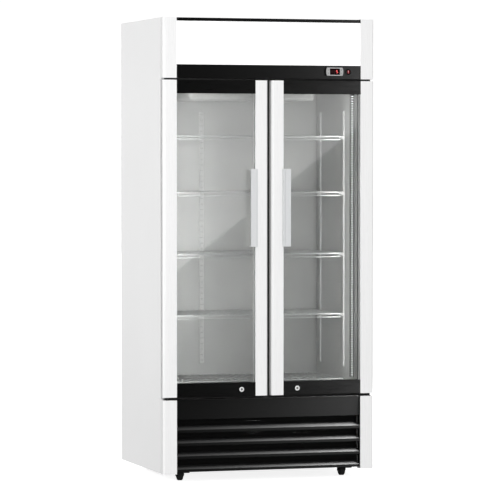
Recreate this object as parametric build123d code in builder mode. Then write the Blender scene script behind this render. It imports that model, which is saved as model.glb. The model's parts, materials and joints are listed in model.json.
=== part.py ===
from build123d import *
import os
from math import radians, tan

# Two-door glass merchandiser: an upright display refrigerator for drinks.
# Frame: origin on the floor under the middle of the whole object, +X to the right as the
# customer sees it, the doors face -Y, +Z is up. Millimetres.

# ---------------------------------------------------------------- driving dimensions
WIDTH = 948
BODY_DEPTH = 700
HANDLE_PROUD = 22
FLOOR_CLEARANCE = 38
BASE_HEIGHT = 317
LOWER_DOOR_GAP = 12
DOOR_HEIGHT = 1354
UPPER_DOOR_GAP = 8
HEADER_HEIGHT = 259

POST_WIDTH = 60
POST_DEPTH = 42
POST_WALL = 5
POST_CORNER = 10
DOOR_ZONE = 45
SHEET = 1.5
FLANGE = 22
WALL = 55

# ---------------------------------------------------------------- planes worked out from them
HALF = WIDTH / 2
FRONT = HANDLE_PROUD - (BODY_DEPTH + HANDLE_PROUD) / 2
BACK = FRONT + BODY_DEPTH
CABINET_FRONT = FRONT + DOOR_ZONE
BASE_TOP = FLOOR_CLEARANCE + BASE_HEIGHT
DOOR_BOTTOM = BASE_TOP + LOWER_DOOR_GAP
DOOR_TOP = DOOR_BOTTOM + DOOR_HEIGHT
HEADER_BOTTOM = DOOR_TOP + UPPER_DOOR_GAP
TOP = HEADER_BOTTOM + HEADER_HEIGHT
POST_INNER = HALF - POST_WIDTH
BETWEEN_POSTS = POST_INNER - 0.5
INSIDE = HALF - SHEET

# insulated box
LINER_HALF = HALF - WALL
LINER_FLOOR = 406
LINER_CEILING = 1690
LINER_BACK = FRONT + 617
FOAM_BOTTOM = 346
FOAM_TOP = 1738
FRAME_DEPTH = 14
FRAME_HALF = HALF - FLANGE - 0.5
MULLION_HALF = 35
MULLION_DEPTH = 30
TRAY_BOTTOM = 108
TRAY_TOP = 110

# header front
TOP_SHEET = TOP - 2
LIP_BOTTOM = TOP_SHEET - 14
FASCIA_TOP = HEADER_BOTTOM + 58
CONTROLLER_X, CONTROLLER_Z = 295, HEADER_BOTTOM + 32
SWITCH_X = 358

# doors
DOOR_INNER = 8
DOOR_FRAME = 32
HANDLE_STILE = 55
TOP_RAIL = 57
BOTTOM_RAIL = 59
GLASS_RECESS = 12
GLASS_THICK = 4
GLASS_UNIT = 18
GLASS_BITE = 11
GASKET_WIDTH = 12
GASKET_DEPTH = 12.6
PIN_INSET = 23
PIN_BACK = 20
PIN_RADIUS = 5
PIN_LENGTH = 20
PIN_CLEARANCE = 0.05
HANDLE_BOTTOM, HANDLE_TOP = 1008, 1342
LOCK_X, LOCK_Z = 125.5, DOOR_BOTTOM + 29
CAM_REACH = 44

# shelves, measured at the middle of the front wire
SHELF_HEIGHTS = (703, 969, 1238, 1483)
SHELF_HALF = 406
SHELF_FRONT = FRONT + 205
SHELF_BACK = LINER_BACK - 9
WIRE = 3
GRID_WIRE = 1.8

# castors
CASTOR_X = 368
CASTOR_FRONT_Y = FRONT + 121
CASTOR_REAR_Y = FRONT + 612
CASTOR_TRAIL = 22
WHEEL_RADIUS = 25
WHEEL_HALF_WIDTH = 11
AXLE_RADIUS = 4

SIDES = (("left", -1), ("right", 1))


# ---------------------------------------------------------------- helpers
def block(x, y, z, mode=Mode.ADD):
    """A box that fills the spans x, y and z."""
    middle = ((x[0] + x[1]) / 2, (y[0] + y[1]) / 2, (z[0] + z[1]) / 2)
    with Locations(middle):
        Box(abs(x[1] - x[0]), abs(y[1] - y[0]), abs(z[1] - z[0]), mode=mode)


def across(side, inner, outer):
    """The X span from inner to outer on the left (-1) or right (+1) half."""
    return tuple(sorted((side * inner, side * outer)))


def rod(start, end, radius, mode=Mode.ADD):
    """A round bar between two points on a line along X, Y or Z."""
    path = Vector(*end) - Vector(*start)
    turn = (0, 90 * (abs(path.X) > 0), 0) if abs(path.Y) == 0 else (90, 0, 0)
    middle = (Vector(*start) + Vector(*end)) * 0.5
    with Locations(Location(tuple(middle), turn)):
        Cylinder(radius, path.length, mode=mode)


def save(shape, name):
    shape.label = name
    export_step(shape, f"parts/{name}.step")


os.makedirs("parts", exist_ok=True)


# ---------------------------------------------------------------- cabinet shell
for word, side in SIDES:
    with BuildPart() as side_panel:
        height = (FLOOR_CLEARANCE, TOP)
        block(across(side, INSIDE, HALF), (CABINET_FRONT, BACK), height)
        block(across(side, HALF - FLANGE, INSIDE), (CABINET_FRONT, CABINET_FRONT + SHEET), height)
        block(across(side, HALF - FLANGE, INSIDE), (BACK - SHEET, BACK), height)
        corners = side_panel.edges().filter_by(Axis.Z)
        outermost = corners.sort_by(lambda e: side * e.center().X)[-2:]
        fillet(outermost, SHEET * 0.8)
    save(side_panel.part, f"side_panel_{word}")

with BuildPart() as top_panel:
    sheet = (TOP_SHEET - SHEET, TOP_SHEET)
    block((-INSIDE, INSIDE), (CABINET_FRONT + SHEET, BACK - SHEET), sheet)
    block((-BETWEEN_POSTS, BETWEEN_POSTS), (FRONT + 2, CABINET_FRONT + SHEET), sheet)
    block((-BETWEEN_POSTS, BETWEEN_POSTS), (FRONT + 2, FRONT + 4), (LIP_BOTTOM, TOP_SHEET))
    fillet(top_panel.edges().filter_by(Axis.X).group_by(Axis.Z)[-1].sort_by(Axis.Y)[0], 1.2)
save(top_panel.part, "top_panel")

with BuildPart() as back_panel:
    block((-FRAME_HALF, FRAME_HALF), (BACK - SHEET, BACK), (FOAM_BOTTOM, TOP_SHEET))
save(back_panel.part, "back_panel")

# the rear grille covers the machine compartment and carries the mains cord's gland
GRILLE_BOTTOM = 60
GLAND_X, GLAND_Z = -330, 300
GLAND_RADIUS, GLAND_BORE = 12, 4.5
GLAND_LENGTH = 14
with BuildPart() as rear_grille:
    block((-FRAME_HALF, FRAME_HALF), (BACK - SHEET, BACK), (GRILLE_BOTTOM, FOAM_BOTTOM - 0.5))
    for column in range(4):
        for row in range(9):
            x = (column - 1.5) * 180 + 60
            z = 105 + row * 18
            block((x - 80, x + 80), (BACK - SHEET - 1, BACK + 1), (z - 3, z + 3), Mode.SUBTRACT)
    rod((GLAND_X, BACK - GLAND_LENGTH, GLAND_Z), (GLAND_X, BACK, GLAND_Z), GLAND_RADIUS)
    rod((GLAND_X, BACK - 2 * GLAND_LENGTH, GLAND_Z), (GLAND_X, BACK + 1, GLAND_Z), GLAND_BORE,
        Mode.SUBTRACT)
save(rear_grille.part, "rear_grille")

SKIRT_BOTTOM = 52
with BuildPart() as base_tray:
    block((-INSIDE, INSIDE), (CABINET_FRONT + SHEET, BACK - SHEET), (TRAY_BOTTOM, TRAY_TOP))
    for y in (CABINET_FRONT + SHEET, BACK - SHEET - 2):
        block((-FRAME_HALF, FRAME_HALF), (y, y + 2), (TRAY_TOP, TRAY_TOP + 20))
    front_skirt = (CABINET_FRONT + SHEET, CABINET_FRONT + SHEET + 2)
    block((-FRAME_HALF, FRAME_HALF), front_skirt, (SKIRT_BOTTOM, TRAY_TOP))
    # swivel plates and kingpins of the front castors, welded under the tray
    swivel_y = CASTOR_FRONT_Y + CASTOR_TRAIL
    for _, side in SIDES:
        x = side * CASTOR_X
        block((x - 32, x + 32), (swivel_y - 32, swivel_y + 32), (TRAY_BOTTOM - 3, TRAY_BOTTOM))
        rod((x, swivel_y, 88), (x, swivel_y, TRAY_BOTTOM), 6)
save(base_tray.part, "base_tray")


# ---------------------------------------------------------------- insulated box
with BuildPart() as insulation_foam:
    depth = (CABINET_FRONT + FRAME_DEPTH, BACK - SHEET)
    outer_liner = LINER_HALF + SHEET
    for _, side in SIDES:
        block(across(side, outer_liner, INSIDE), depth, (FOAM_BOTTOM, FOAM_TOP))
    inner = (-outer_liner, outer_liner)
    block(inner, (LINER_BACK + SHEET, BACK - SHEET), (FOAM_BOTTOM, FOAM_TOP))
    front_part = (depth[0], LINER_BACK + SHEET)
    block(inner, front_part, (FOAM_BOTTOM, LINER_FLOOR - SHEET))
    block(inner, front_part, (LINER_CEILING + SHEET, FOAM_TOP))
save(insulation_foam.part, "insulation_foam")


def sheet_box(name, sheets):
    """A box folded up from separate flat sheets that meet edge to edge."""
    solids = []
    for x, y, z in sheets:
        with BuildPart() as sheet_part:
            block(x, y, z)
        solids.append(sheet_part.part.solid())
    save(Compound(children=solids), name)


liner_y = (CABINET_FRONT + FRAME_DEPTH, LINER_BACK)
liner_z = (LINER_FLOOR, LINER_CEILING)
liner_wide = (-LINER_HALF - SHEET, LINER_HALF + SHEET)
sheet_box("inner_liner", (
    ((-LINER_HALF - SHEET, -LINER_HALF), liner_y, liner_z),
    ((LINER_HALF, LINER_HALF + SHEET), liner_y, liner_z),
    (liner_wide, (LINER_BACK, LINER_BACK + SHEET), liner_z),
    (liner_wide, (liner_y[0], LINER_BACK + SHEET), (LINER_FLOOR - SHEET, LINER_FLOOR)),
    (liner_wide, (liner_y[0], LINER_BACK + SHEET), (LINER_CEILING, LINER_CEILING + SHEET)),
))

with BuildPart() as face_frame:
    frame_y = (CABINET_FRONT, CABINET_FRONT + FRAME_DEPTH)
    block((-FRAME_HALF, FRAME_HALF), frame_y, (FOAM_BOTTOM, FOAM_TOP))
    for _, side in SIDES:
        block(across(side, MULLION_HALF, LINER_HALF), (frame_y[0] - 1, frame_y[1] + 1),
              (LINER_FLOOR, LINER_CEILING), Mode.SUBTRACT)
    block((-MULLION_HALF, MULLION_HALF), (CABINET_FRONT, CABINET_FRONT + MULLION_DEPTH),
          (LINER_FLOOR, LINER_CEILING))
save(face_frame.part, "face_frame")


# ---------------------------------------------------------------- shelves and their supports
STRIP_HALF, STRIP_PROUD = 10, 5
STRIP_Z = (470, 1600)
SIDE_STRIP_Y = (FRONT + 240, FRONT + 560)
BACK_STRIP_X = 125
CLIP_DROP = 7

with BuildPart() as shelf_supports:
    for _, side in SIDES:
        for y in SIDE_STRIP_Y:
            block(across(side, LINER_HALF - STRIP_PROUD, LINER_HALF), (y - STRIP_HALF, y + STRIP_HALF),
                  STRIP_Z)
            for height in SHELF_HEIGHTS:
                clip_top = height - WIRE - 0.2
                block(across(side, SHELF_HALF - 8, LINER_HALF - STRIP_PROUD), (y - 6, y + 6),
                      (clip_top - CLIP_DROP, clip_top))
        x = side * BACK_STRIP_X
        block((x - STRIP_HALF, x + STRIP_HALF), (LINER_BACK - STRIP_PROUD, LINER_BACK), STRIP_Z)
        for height in SHELF_HEIGHTS:
            clip_top = height - WIRE - 0.2
            block((x - 6, x + 6), (SHELF_BACK - 8, LINER_BACK - STRIP_PROUD),
                  (clip_top - CLIP_DROP, clip_top))
save(shelf_supports.part, "shelf_supports")

# A shelf at height 0: one wire bent round into a frame, two stiffening wires under it, and a grid
# from front to back on top. The front edge has a second wire below, tied to the first by uprights.
CORNER_BEND = 12
STIFFENER, STIFFENER_DROP = 2.4, 1.7
GRID_COUNT, GRID_RISE = 27, 2
FRONT_DROP, LOWER_WIRE = 13.6, 2.6
TIE_COUNT, TIE_WIRE = 7, 2


def wire_panel(half, front, back, with_drop):
    """A flat wire panel whose frame wire has its centre at height 0."""
    with BuildPart() as panel:
        with BuildLine() as loop:
            FilletPolyline((-half, front), (half, front), (half, back), (-half, back),
                           radius=CORNER_BEND, close=True)
        with BuildSketch(Plane(origin=loop.line @ 0, z_dir=loop.line % 0)):
            Circle(WIRE)
        sweep(path=loop.line)
        for share in (1 / 3, 2 / 3):
            y = front + share * (back - front)
            rod((-half, y, -STIFFENER_DROP), (half, y, -STIFFENER_DROP), STIFFENER)
        for index in range(GRID_COUNT):
            x = -half + 2 * half * (index + 1) / (GRID_COUNT + 1)
            rod((x, front, GRID_RISE), (x, back, GRID_RISE), GRID_WIRE)
        if with_drop:
            reach = half - CORNER_BEND - 8
            rod((-reach - 4, front, -FRONT_DROP), (reach + 4, front, -FRONT_DROP), LOWER_WIRE)
            for index in range(TIE_COUNT):
                x = -reach + 2 * reach * index / (TIE_COUNT - 1)
                rod((x, front, -FRONT_DROP), (x, front, -0.5), TIE_WIRE)
    return panel.part


shelf = wire_panel(SHELF_HALF, SHELF_FRONT, SHELF_BACK, True)
for number, height in enumerate(SHELF_HEIGHTS, start=1):
    save(shelf.moved(Location((0, 0, height))), f"wire_shelf_{number}")

RACK_Z = LINER_FLOOR + 10
rack = wire_panel(SHELF_HALF, SHELF_FRONT, SHELF_BACK, False).moved(Location((0, 0, RACK_Z)))
with BuildPart() as floor_rack:
    add(rack)
    for x in (-SHELF_HALF + 60, 0, SHELF_HALF - 60):
        for y in ((2 * SHELF_FRONT + SHELF_BACK) / 3, (SHELF_FRONT + 2 * SHELF_BACK) / 3):
            rod((x, y, LINER_FLOOR), (x, y, RACK_Z - 1), WIRE * 0.8)
save(floor_rack.part, "floor_rack")


# ---------------------------------------------------------------- lighting
LED_Z = (432, 1668)
LED_FRONT = FRONT + 98
with BuildPart() as led_strips:
    for _, side in SIDES:
        with BuildSketch(Plane.XY.offset(LED_Z[0])):
            with BuildLine():
                Polyline((side * LINER_HALF, LED_FRONT), (side * (LINER_HALF - 15), LED_FRONT + 13),
                         (side * (LINER_HALF - 15), LED_FRONT + 22), (side * LINER_HALF, LED_FRONT + 34),
                         close=True)
            make_face()
        extrude(amount=LED_Z[1] - LED_Z[0])
    # the batten behind the sign panel stands on the insulated box
    block((-380, 380), (CABINET_FRONT + 30, CABINET_FRONT + 55), (FOAM_TOP, FOAM_TOP + 30))
save(led_strips.part, "led_strips")


# ---------------------------------------------------------------- evaporator under the ceiling
EVAP_HALF = 290
EVAP_Y = (FRONT + 250, LINER_BACK - 12)
EVAP_BOTTOM = 1640
EVAP_FAN_Y = EVAP_Y[0] + 105
EVAP_FAN_Z = EVAP_BOTTOM + 20
EVAP_FAN_RADIUS = 72
COVER_WALL = 2

with BuildPart() as evaporator_cover:
    block((-EVAP_HALF, EVAP_HALF), EVAP_Y, (EVAP_BOTTOM, LINER_CEILING))
    fillet(evaporator_cover.edges().filter_by(Axis.Z), 24)
    fillet(evaporator_cover.faces().sort_by(Axis.Z)[0].edges(), 14)
    offset(amount=-COVER_WALL, openings=evaporator_cover.faces().sort_by(Axis.Z)[-1], mode=Mode.REPLACE)
    rod((0, EVAP_FAN_Y, EVAP_BOTTOM - 5), (0, EVAP_FAN_Y, EVAP_BOTTOM + 8), EVAP_FAN_RADIUS + 2,
        Mode.SUBTRACT)
    # guard bars carry the fan's motor in the middle of the opening
    for angle in (0, 60, 120):
        with Locations(Location((0, EVAP_FAN_Y, EVAP_BOTTOM + 1), (0, 0, angle))):
            Box(2 * EVAP_FAN_RADIUS + 8, 4, COVER_WALL)
    rod((0, EVAP_FAN_Y, EVAP_BOTTOM), (0, EVAP_FAN_Y, EVAP_BOTTOM + 8), 20)
    # slots that draw air in at the back
    for index in range(14):
        x = (index - 6.5) * 36
        block((x - 11, x + 11), (EVAP_Y[1] - 90, EVAP_Y[1] - 30), (EVAP_BOTTOM - 1, EVAP_BOTTOM + 3),
              Mode.SUBTRACT)
save(evaporator_cover.part, "evaporator_cover")

COIL_HALF = 240
COIL_FIN, COIL_PITCH, COIL_GROOVE = 4, 12, 6
with BuildPart() as evaporator_coil:
    coil_y = (EVAP_FAN_Y + 90, EVAP_Y[1] - 6)
    coil_z = (EVAP_BOTTOM + 12, LINER_CEILING - 2)
    block((-COIL_HALF, COIL_HALF), coil_y, coil_z)
    # grooves above and below leave a stack of fins on a solid core
    for index in range(2 * COIL_HALF // COIL_PITCH):
        start = -COIL_HALF + COIL_FIN / 2 + index * COIL_PITCH
        groove = (start + COIL_FIN / 2, start + COIL_PITCH - COIL_FIN / 2)
        for z in coil_z:
            block(groove, coil_y, (z - COIL_GROOVE, z + COIL_GROOVE), Mode.SUBTRACT)
save(evaporator_coil.part, "evaporator_coil")


def fan(centre, axis_turn, radius, hub_radius, depth, bore):
    """Five pitched blades on a hub, turning about the local Z of centre."""
    with BuildPart() as rotor:
        Cylinder(hub_radius, depth)
        with PolarLocations((hub_radius + radius - 2) / 2, 5):
            Box(radius - hub_radius + 2, radius * 0.52, 1.6, rotation=(24, 0, 0))
        Cylinder(radius, 3 * depth, mode=Mode.INTERSECT)
        with Locations((0, 0, -depth / 4)):
            Cylinder(bore, depth / 2 + 0.1, mode=Mode.SUBTRACT)
    return rotor.part.moved(Location(centre, axis_turn))


save(fan((0, EVAP_FAN_Y, EVAP_FAN_Z + 4), (0, 0, 0), EVAP_FAN_RADIUS, 22, 14, 6), "evaporator_fan")


# ---------------------------------------------------------------- machine compartment
COND_X = (-390, -90)
COND_Y = (CABINET_FRONT + 20, CABINET_FRONT + 75)
COND_Z = (TRAY_TOP, TRAY_TOP + 210)
FIN_PITCH, FIN_GAP, FIN_DEPTH = 10, 7, 16
SHROUD_PLATE, SHROUD_DEPTH, SHROUD_RING = 3, 44, 7
MOTOR_RADIUS = 32
COND_FAN_Y = COND_Y[1] + 28
COND_FAN_RADIUS = 88
cond_fan_x = (COND_X[0] + COND_X[1]) / 2
cond_fan_z = (COND_Z[0] + COND_Z[1]) / 2

with BuildPart() as condenser:
    block(COND_X, COND_Y, COND_Z)
    fin_z = (COND_Z[0] + 6, COND_Z[1] - 6)
    for index in range((COND_X[1] - COND_X[0]) // FIN_PITCH):
        x = COND_X[0] + FIN_PITCH * (index + 0.5)
        block((x - FIN_GAP / 2, x + FIN_GAP / 2), (COND_Y[0] - 1, COND_Y[0] + FIN_DEPTH), fin_z,
              Mode.SUBTRACT)
    # fan shroud: a plate on the back, a ring round the blades, and arms that carry the motor
    shroud_back = COND_Y[1] + SHROUD_DEPTH
    centre_x, centre_z = cond_fan_x, cond_fan_z
    ring_radius = COND_FAN_RADIUS + SHROUD_RING
    rod((centre_x, COND_Y[1], centre_z), (centre_x, shroud_back, centre_z), ring_radius)
    rod((centre_x, COND_Y[1] - FIN_DEPTH, centre_z), (centre_x, shroud_back + 1, centre_z),
        ring_radius - SHROUD_PLATE, Mode.SUBTRACT)
    for angle in (0, 120, 240):
        arm = Location((centre_x, shroud_back - 2, centre_z), (0, angle, 0))
        with Locations(arm * Location((ring_radius / 2 - 1, 0, 0))):
            Box(ring_radius - 2, 4, 6)
    rod((centre_x, shroud_back - 4, centre_z), (centre_x, shroud_back + 30, centre_z), MOTOR_RADIUS)
save(condenser.part, "condenser")

save(fan((cond_fan_x, COND_FAN_Y, cond_fan_z), (90, 0, 0), COND_FAN_RADIUS - 4, 26, 18, 6),
     "condenser_fan")

COMPRESSOR_X, COMPRESSOR_Y = 180, 120
SHELL_RADIUS, SHELL_HEIGHT, SHELL_CROWN = 76, 164, 44
FOOT_HEIGHT, PLATE_THICK = 14, 4
with BuildPart() as compressor:
    foot_top = TRAY_TOP + FOOT_HEIGHT
    block((COMPRESSOR_X - 110, COMPRESSOR_X + 110), (COMPRESSOR_Y - 65, COMPRESSOR_Y + 65),
          (foot_top, foot_top + PLATE_THICK))
    for dx in (-90, 90):
        for dy in (-48, 48):
            x, y = COMPRESSOR_X + dx, COMPRESSOR_Y + dy
            rod((x, y, TRAY_TOP), (x, y, foot_top), 12)
    rod((COMPRESSOR_X, COMPRESSOR_Y, foot_top + PLATE_THICK),
        (COMPRESSOR_X, COMPRESSOR_Y, foot_top + PLATE_THICK + SHELL_HEIGHT), SHELL_RADIUS)
    fillet(compressor.edges().filter_by(GeomType.CIRCLE).group_by(Axis.Z)[-1], SHELL_CROWN)
    # three tube stubs and the cover over the electrical terminals
    for z in (TRAY_TOP + 60, TRAY_TOP + 110, TRAY_TOP + 140):
        rod((COMPRESSOR_X + 60, COMPRESSOR_Y, z), (COMPRESSOR_X + 120, COMPRESSOR_Y, z), 5)
    block((COMPRESSOR_X - 28, COMPRESSOR_X + 28), (COMPRESSOR_Y - 104, COMPRESSOR_Y - 60),
          (TRAY_TOP + 50, TRAY_TOP + 120))
save(compressor.part, "compressor")


# ---------------------------------------------------------------- corner posts
def corner_posts(name, z):
    """Left and right hollow posts with a tongue that meets the cabinet's front."""
    with BuildPart() as posts:
        for _, side in SIDES:
            with BuildSketch(Plane.XY.offset(z[0])):
                with BuildLine():
                    inner, outer = side * POST_INNER, side * HALF
                    rear = FRONT + POST_DEPTH
                    Line((inner, FRONT), (outer - side * POST_CORNER, FRONT))
                    RadiusArc((outer - side * POST_CORNER, FRONT), (outer, FRONT + POST_CORNER),
                              -side * POST_CORNER)
                    Polyline((outer, FRONT + POST_CORNER), (outer, rear), (inner, rear), (inner, FRONT))
                make_face()
                hollow = ((inner + outer) / 2, (FRONT + rear) / 2)
                with Locations(hollow):
                    Rectangle(POST_WIDTH - 2 * POST_WALL, POST_DEPTH - 2 * POST_WALL, mode=Mode.SUBTRACT)
            extrude(amount=z[1] - z[0])
            for end in (z[0], z[1] - 3):
                block(across(side, POST_INNER + 4, HALF - 4), (FRONT + 4, FRONT + POST_DEPTH - 4),
                      (end, end + 3))
            block(across(side, POST_INNER + 10, HALF - 10), (FRONT + POST_DEPTH, CABINET_FRONT), z)
    save(posts.part, name)


corner_posts("header_posts", (HEADER_BOTTOM, TOP))
corner_posts("base_posts", (FLOOR_CLEARANCE, BASE_TOP))


# ---------------------------------------------------------------- header front
with BuildPart() as header_sign:
    block((-BETWEEN_POSTS, BETWEEN_POSTS), (FRONT + 4.5, FRONT + 7.5), (FASCIA_TOP - 8, LIP_BOTTOM + 8))
save(header_sign.part, "header_sign")

CASE_WIDTH, CASE_HEIGHT = 71, 29
BEZEL_WIDTH, BEZEL_HEIGHT, BEZEL_BULGE = 77, 35, 3.5
FASCIA_FACE = FRONT + 2
SWITCH_RADIUS = 11.5
SWITCH_BODY = 9.8
SWITCH_Z = HEADER_BOTTOM + 31

with BuildPart() as control_fascia:
    wide = (-BETWEEN_POSTS, BETWEEN_POSTS)
    block(wide, (FASCIA_FACE, FASCIA_FACE + 2), (HEADER_BOTTOM, FASCIA_TOP))
    block(wide, (FASCIA_FACE, CABINET_FRONT), (HEADER_BOTTOM, HEADER_BOTTOM + 2))
    fillet(control_fascia.edges().filter_by(Axis.X).sort_by(Axis.Y)[0:2], 1.2)
    block((CONTROLLER_X - CASE_WIDTH / 2 - 0.3, CONTROLLER_X + CASE_WIDTH / 2 + 0.3),
          (FASCIA_FACE - 1, FASCIA_FACE + 5),
          (CONTROLLER_Z - CASE_HEIGHT / 2 - 0.3, CONTROLLER_Z + CASE_HEIGHT / 2 + 0.3), Mode.SUBTRACT)
    rod((SWITCH_X, FASCIA_FACE - 1, SWITCH_Z), (SWITCH_X, FASCIA_FACE + 5, SWITCH_Z), SWITCH_BODY + 0.2,
        Mode.SUBTRACT)
save(control_fascia.part, "control_fascia")

# controller: a case behind the fascia and a bezel with bulging sides in front of it
BEZEL_DEPTH = 5
WINDOW_WIDTH, WINDOW_HEIGHT = 42, 24
KEY_X, KEY_Z = 29.5, 7.2
KEY_WIDTH, KEY_HEIGHT, KEY_TRAVEL, KEY_GAP = 8, 10, 0.8, 0.3

with BuildPart() as controller_case:
    block((CONTROLLER_X - CASE_WIDTH / 2, CONTROLLER_X + CASE_WIDTH / 2), (FASCIA_FACE, FRONT + 40),
          (CONTROLLER_Z - CASE_HEIGHT / 2, CONTROLLER_Z + CASE_HEIGHT / 2))
    with BuildSketch(Plane.XZ.offset(-FASCIA_FACE)):
        with BuildLine():
            left = CONTROLLER_X - BEZEL_WIDTH / 2 + BEZEL_BULGE
            right = CONTROLLER_X + BEZEL_WIDTH / 2 - BEZEL_BULGE
            low, high = CONTROLLER_Z - BEZEL_HEIGHT / 2, CONTROLLER_Z + BEZEL_HEIGHT / 2
            Line((left, low), (right, low))
            ThreePointArc((right, low), (right + BEZEL_BULGE, CONTROLLER_Z), (right, high))
            Line((right, high), (left, high))
            ThreePointArc((left, high), (left - BEZEL_BULGE, CONTROLLER_Z), (left, low))
        make_face()
    extrude(amount=BEZEL_DEPTH)
    fillet(controller_case.faces().sort_by(Axis.Y)[0].edges(), 1.2)
    block((CONTROLLER_X - WINDOW_WIDTH / 2, CONTROLLER_X + WINDOW_WIDTH / 2),
          (FASCIA_FACE - BEZEL_DEPTH - 1, FASCIA_FACE - BEZEL_DEPTH + 1.2),
          (CONTROLLER_Z - WINDOW_HEIGHT / 2, CONTROLLER_Z + WINDOW_HEIGHT / 2), Mode.SUBTRACT)
    for dx in (-KEY_X, KEY_X):
        for dz in (-KEY_Z, KEY_Z):
            x, z = CONTROLLER_X + dx, CONTROLLER_Z + dz
            block((x - KEY_WIDTH / 2 - KEY_GAP, x + KEY_WIDTH / 2 + KEY_GAP),
                  (FASCIA_FACE - BEZEL_DEPTH - 1, FASCIA_FACE - 1),
                  (z - KEY_HEIGHT / 2 - KEY_GAP, z + KEY_HEIGHT / 2 + KEY_GAP), Mode.SUBTRACT)
save(controller_case.part, "controller_case")

key_number = 0
for dx in (-KEY_X, KEY_X):
    for dz in (KEY_Z, -KEY_Z):
        key_number += 1
        x, z = CONTROLLER_X + dx, CONTROLLER_Z + dz
        with BuildPart() as controller_key:
            block((x - KEY_WIDTH / 2, x + KEY_WIDTH / 2),
                  (FASCIA_FACE - BEZEL_DEPTH - 1, FASCIA_FACE - 1 - KEY_TRAVEL - 0.2),
                  (z - KEY_HEIGHT / 2, z + KEY_HEIGHT / 2))
            fillet(controller_key.edges().filter_by(Axis.Y), 1.5)
            fillet(controller_key.faces().sort_by(Axis.Y)[0].edges(), 0.6)
        save(controller_key.part, f"controller_key_{key_number}")

# round rocker switch, lying with its pivot along X
ROCKER_RADIUS, ROCKER_HALF = 7.1, 5.4
ROCKER_SWING = 20
ROCKER_FACE, ROCKER_END = 6.2, 9
PIVOT_Y = FASCIA_FACE + 4.5
with BuildPart() as switch_bezel:
    rod((SWITCH_X, FASCIA_FACE - 2.5, SWITCH_Z), (SWITCH_X, FASCIA_FACE, SWITCH_Z), SWITCH_RADIUS)
    fillet(switch_bezel.edges().filter_by(GeomType.CIRCLE).sort_by(Axis.Y)[0], 1)
    rod((SWITCH_X, FASCIA_FACE, SWITCH_Z), (SWITCH_X, FASCIA_FACE + 24, SWITCH_Z), SWITCH_BODY)
    block((SWITCH_X - ROCKER_HALF - 0.3, SWITCH_X + ROCKER_HALF + 0.3),
          (FASCIA_FACE - 6, PIVOT_Y + ROCKER_RADIUS + 0.4),
          (SWITCH_Z - ROCKER_RADIUS - 0.3, SWITCH_Z + ROCKER_RADIUS + 0.3), Mode.SUBTRACT)
save(switch_bezel.part, "switch_bezel")

with BuildPart() as switch_rocker:
    with BuildSketch(Plane.YZ.offset(SWITCH_X - ROCKER_HALF)):
        with Locations((PIVOT_Y, SWITCH_Z)):
            Circle(ROCKER_RADIUS)
        # the pressed upper half leans back by the whole swing, the lower half stands upright
        face_y, clear_y = PIVOT_Y - ROCKER_FACE, PIVOT_Y - 2 * ROCKER_FACE
        lean = ROCKER_END * tan(radians(ROCKER_SWING))
        with BuildLine():
            Polyline((face_y, SWITCH_Z), (face_y, SWITCH_Z - ROCKER_END), (clear_y, SWITCH_Z - ROCKER_END),
                     (clear_y, SWITCH_Z + ROCKER_END), (face_y + lean, SWITCH_Z + ROCKER_END), close=True)
        make_face(mode=Mode.SUBTRACT)
    extrude(amount=2 * ROCKER_HALF)
save(switch_rocker.part, "switch_rocker")


# ---------------------------------------------------------------- base grille
PANEL_TOP = BASE_TOP + 2
PANEL_BOTTOM = 272
BLADE_PITCH = 56.1
BLADE_COUNT = 4
BLADE_RISE = 16.8
BLADE_LIP = 12
BLADE_REACH = 24
BLADE_SHEET = 2.4
BLADE_END = 32
FIRST_BLADE = 227.1
GRILLE_FACE = FRONT + 4
blade_half = BETWEEN_POSTS - 1


def louvre(lip_top):
    """A sloped blade with a front lip whose top edge curves down at both ends."""
    lip_bottom, crest = lip_top - BLADE_LIP, lip_top + BLADE_RISE
    y = FRONT + 1.5
    with BuildPart() as blade:
        with BuildSketch(Plane.YZ.offset(-blade_half)):
            with BuildLine():
                Polyline((y, lip_bottom), (y, lip_top), (y + BLADE_REACH, crest),
                         (y + BLADE_REACH, crest - BLADE_SHEET), (y + BLADE_SHEET, lip_top - 1.6),
                         (y + BLADE_SHEET, lip_bottom), close=True)
            make_face()
        extrude(amount=2 * blade_half)
        with BuildSketch(Plane.XZ.offset(-FRONT + 5)):
            with BuildLine():
                shoulder = blade_half - BLADE_END
                Line((-blade_half, lip_bottom), (blade_half, lip_bottom))
                Line((blade_half, lip_bottom), (blade_half, lip_top))
                EllipticalCenterArc((shoulder, lip_top), BLADE_END, BLADE_RISE, arc_size=90)
                Line((shoulder, crest), (-shoulder, crest))
                EllipticalCenterArc((-shoulder, lip_top), BLADE_END, BLADE_RISE, 90, arc_size=90)
                Line((-blade_half, lip_top), (-blade_half, lip_bottom))
            make_face()
        extrude(amount=-60, mode=Mode.INTERSECT)
    return blade.part


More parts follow.
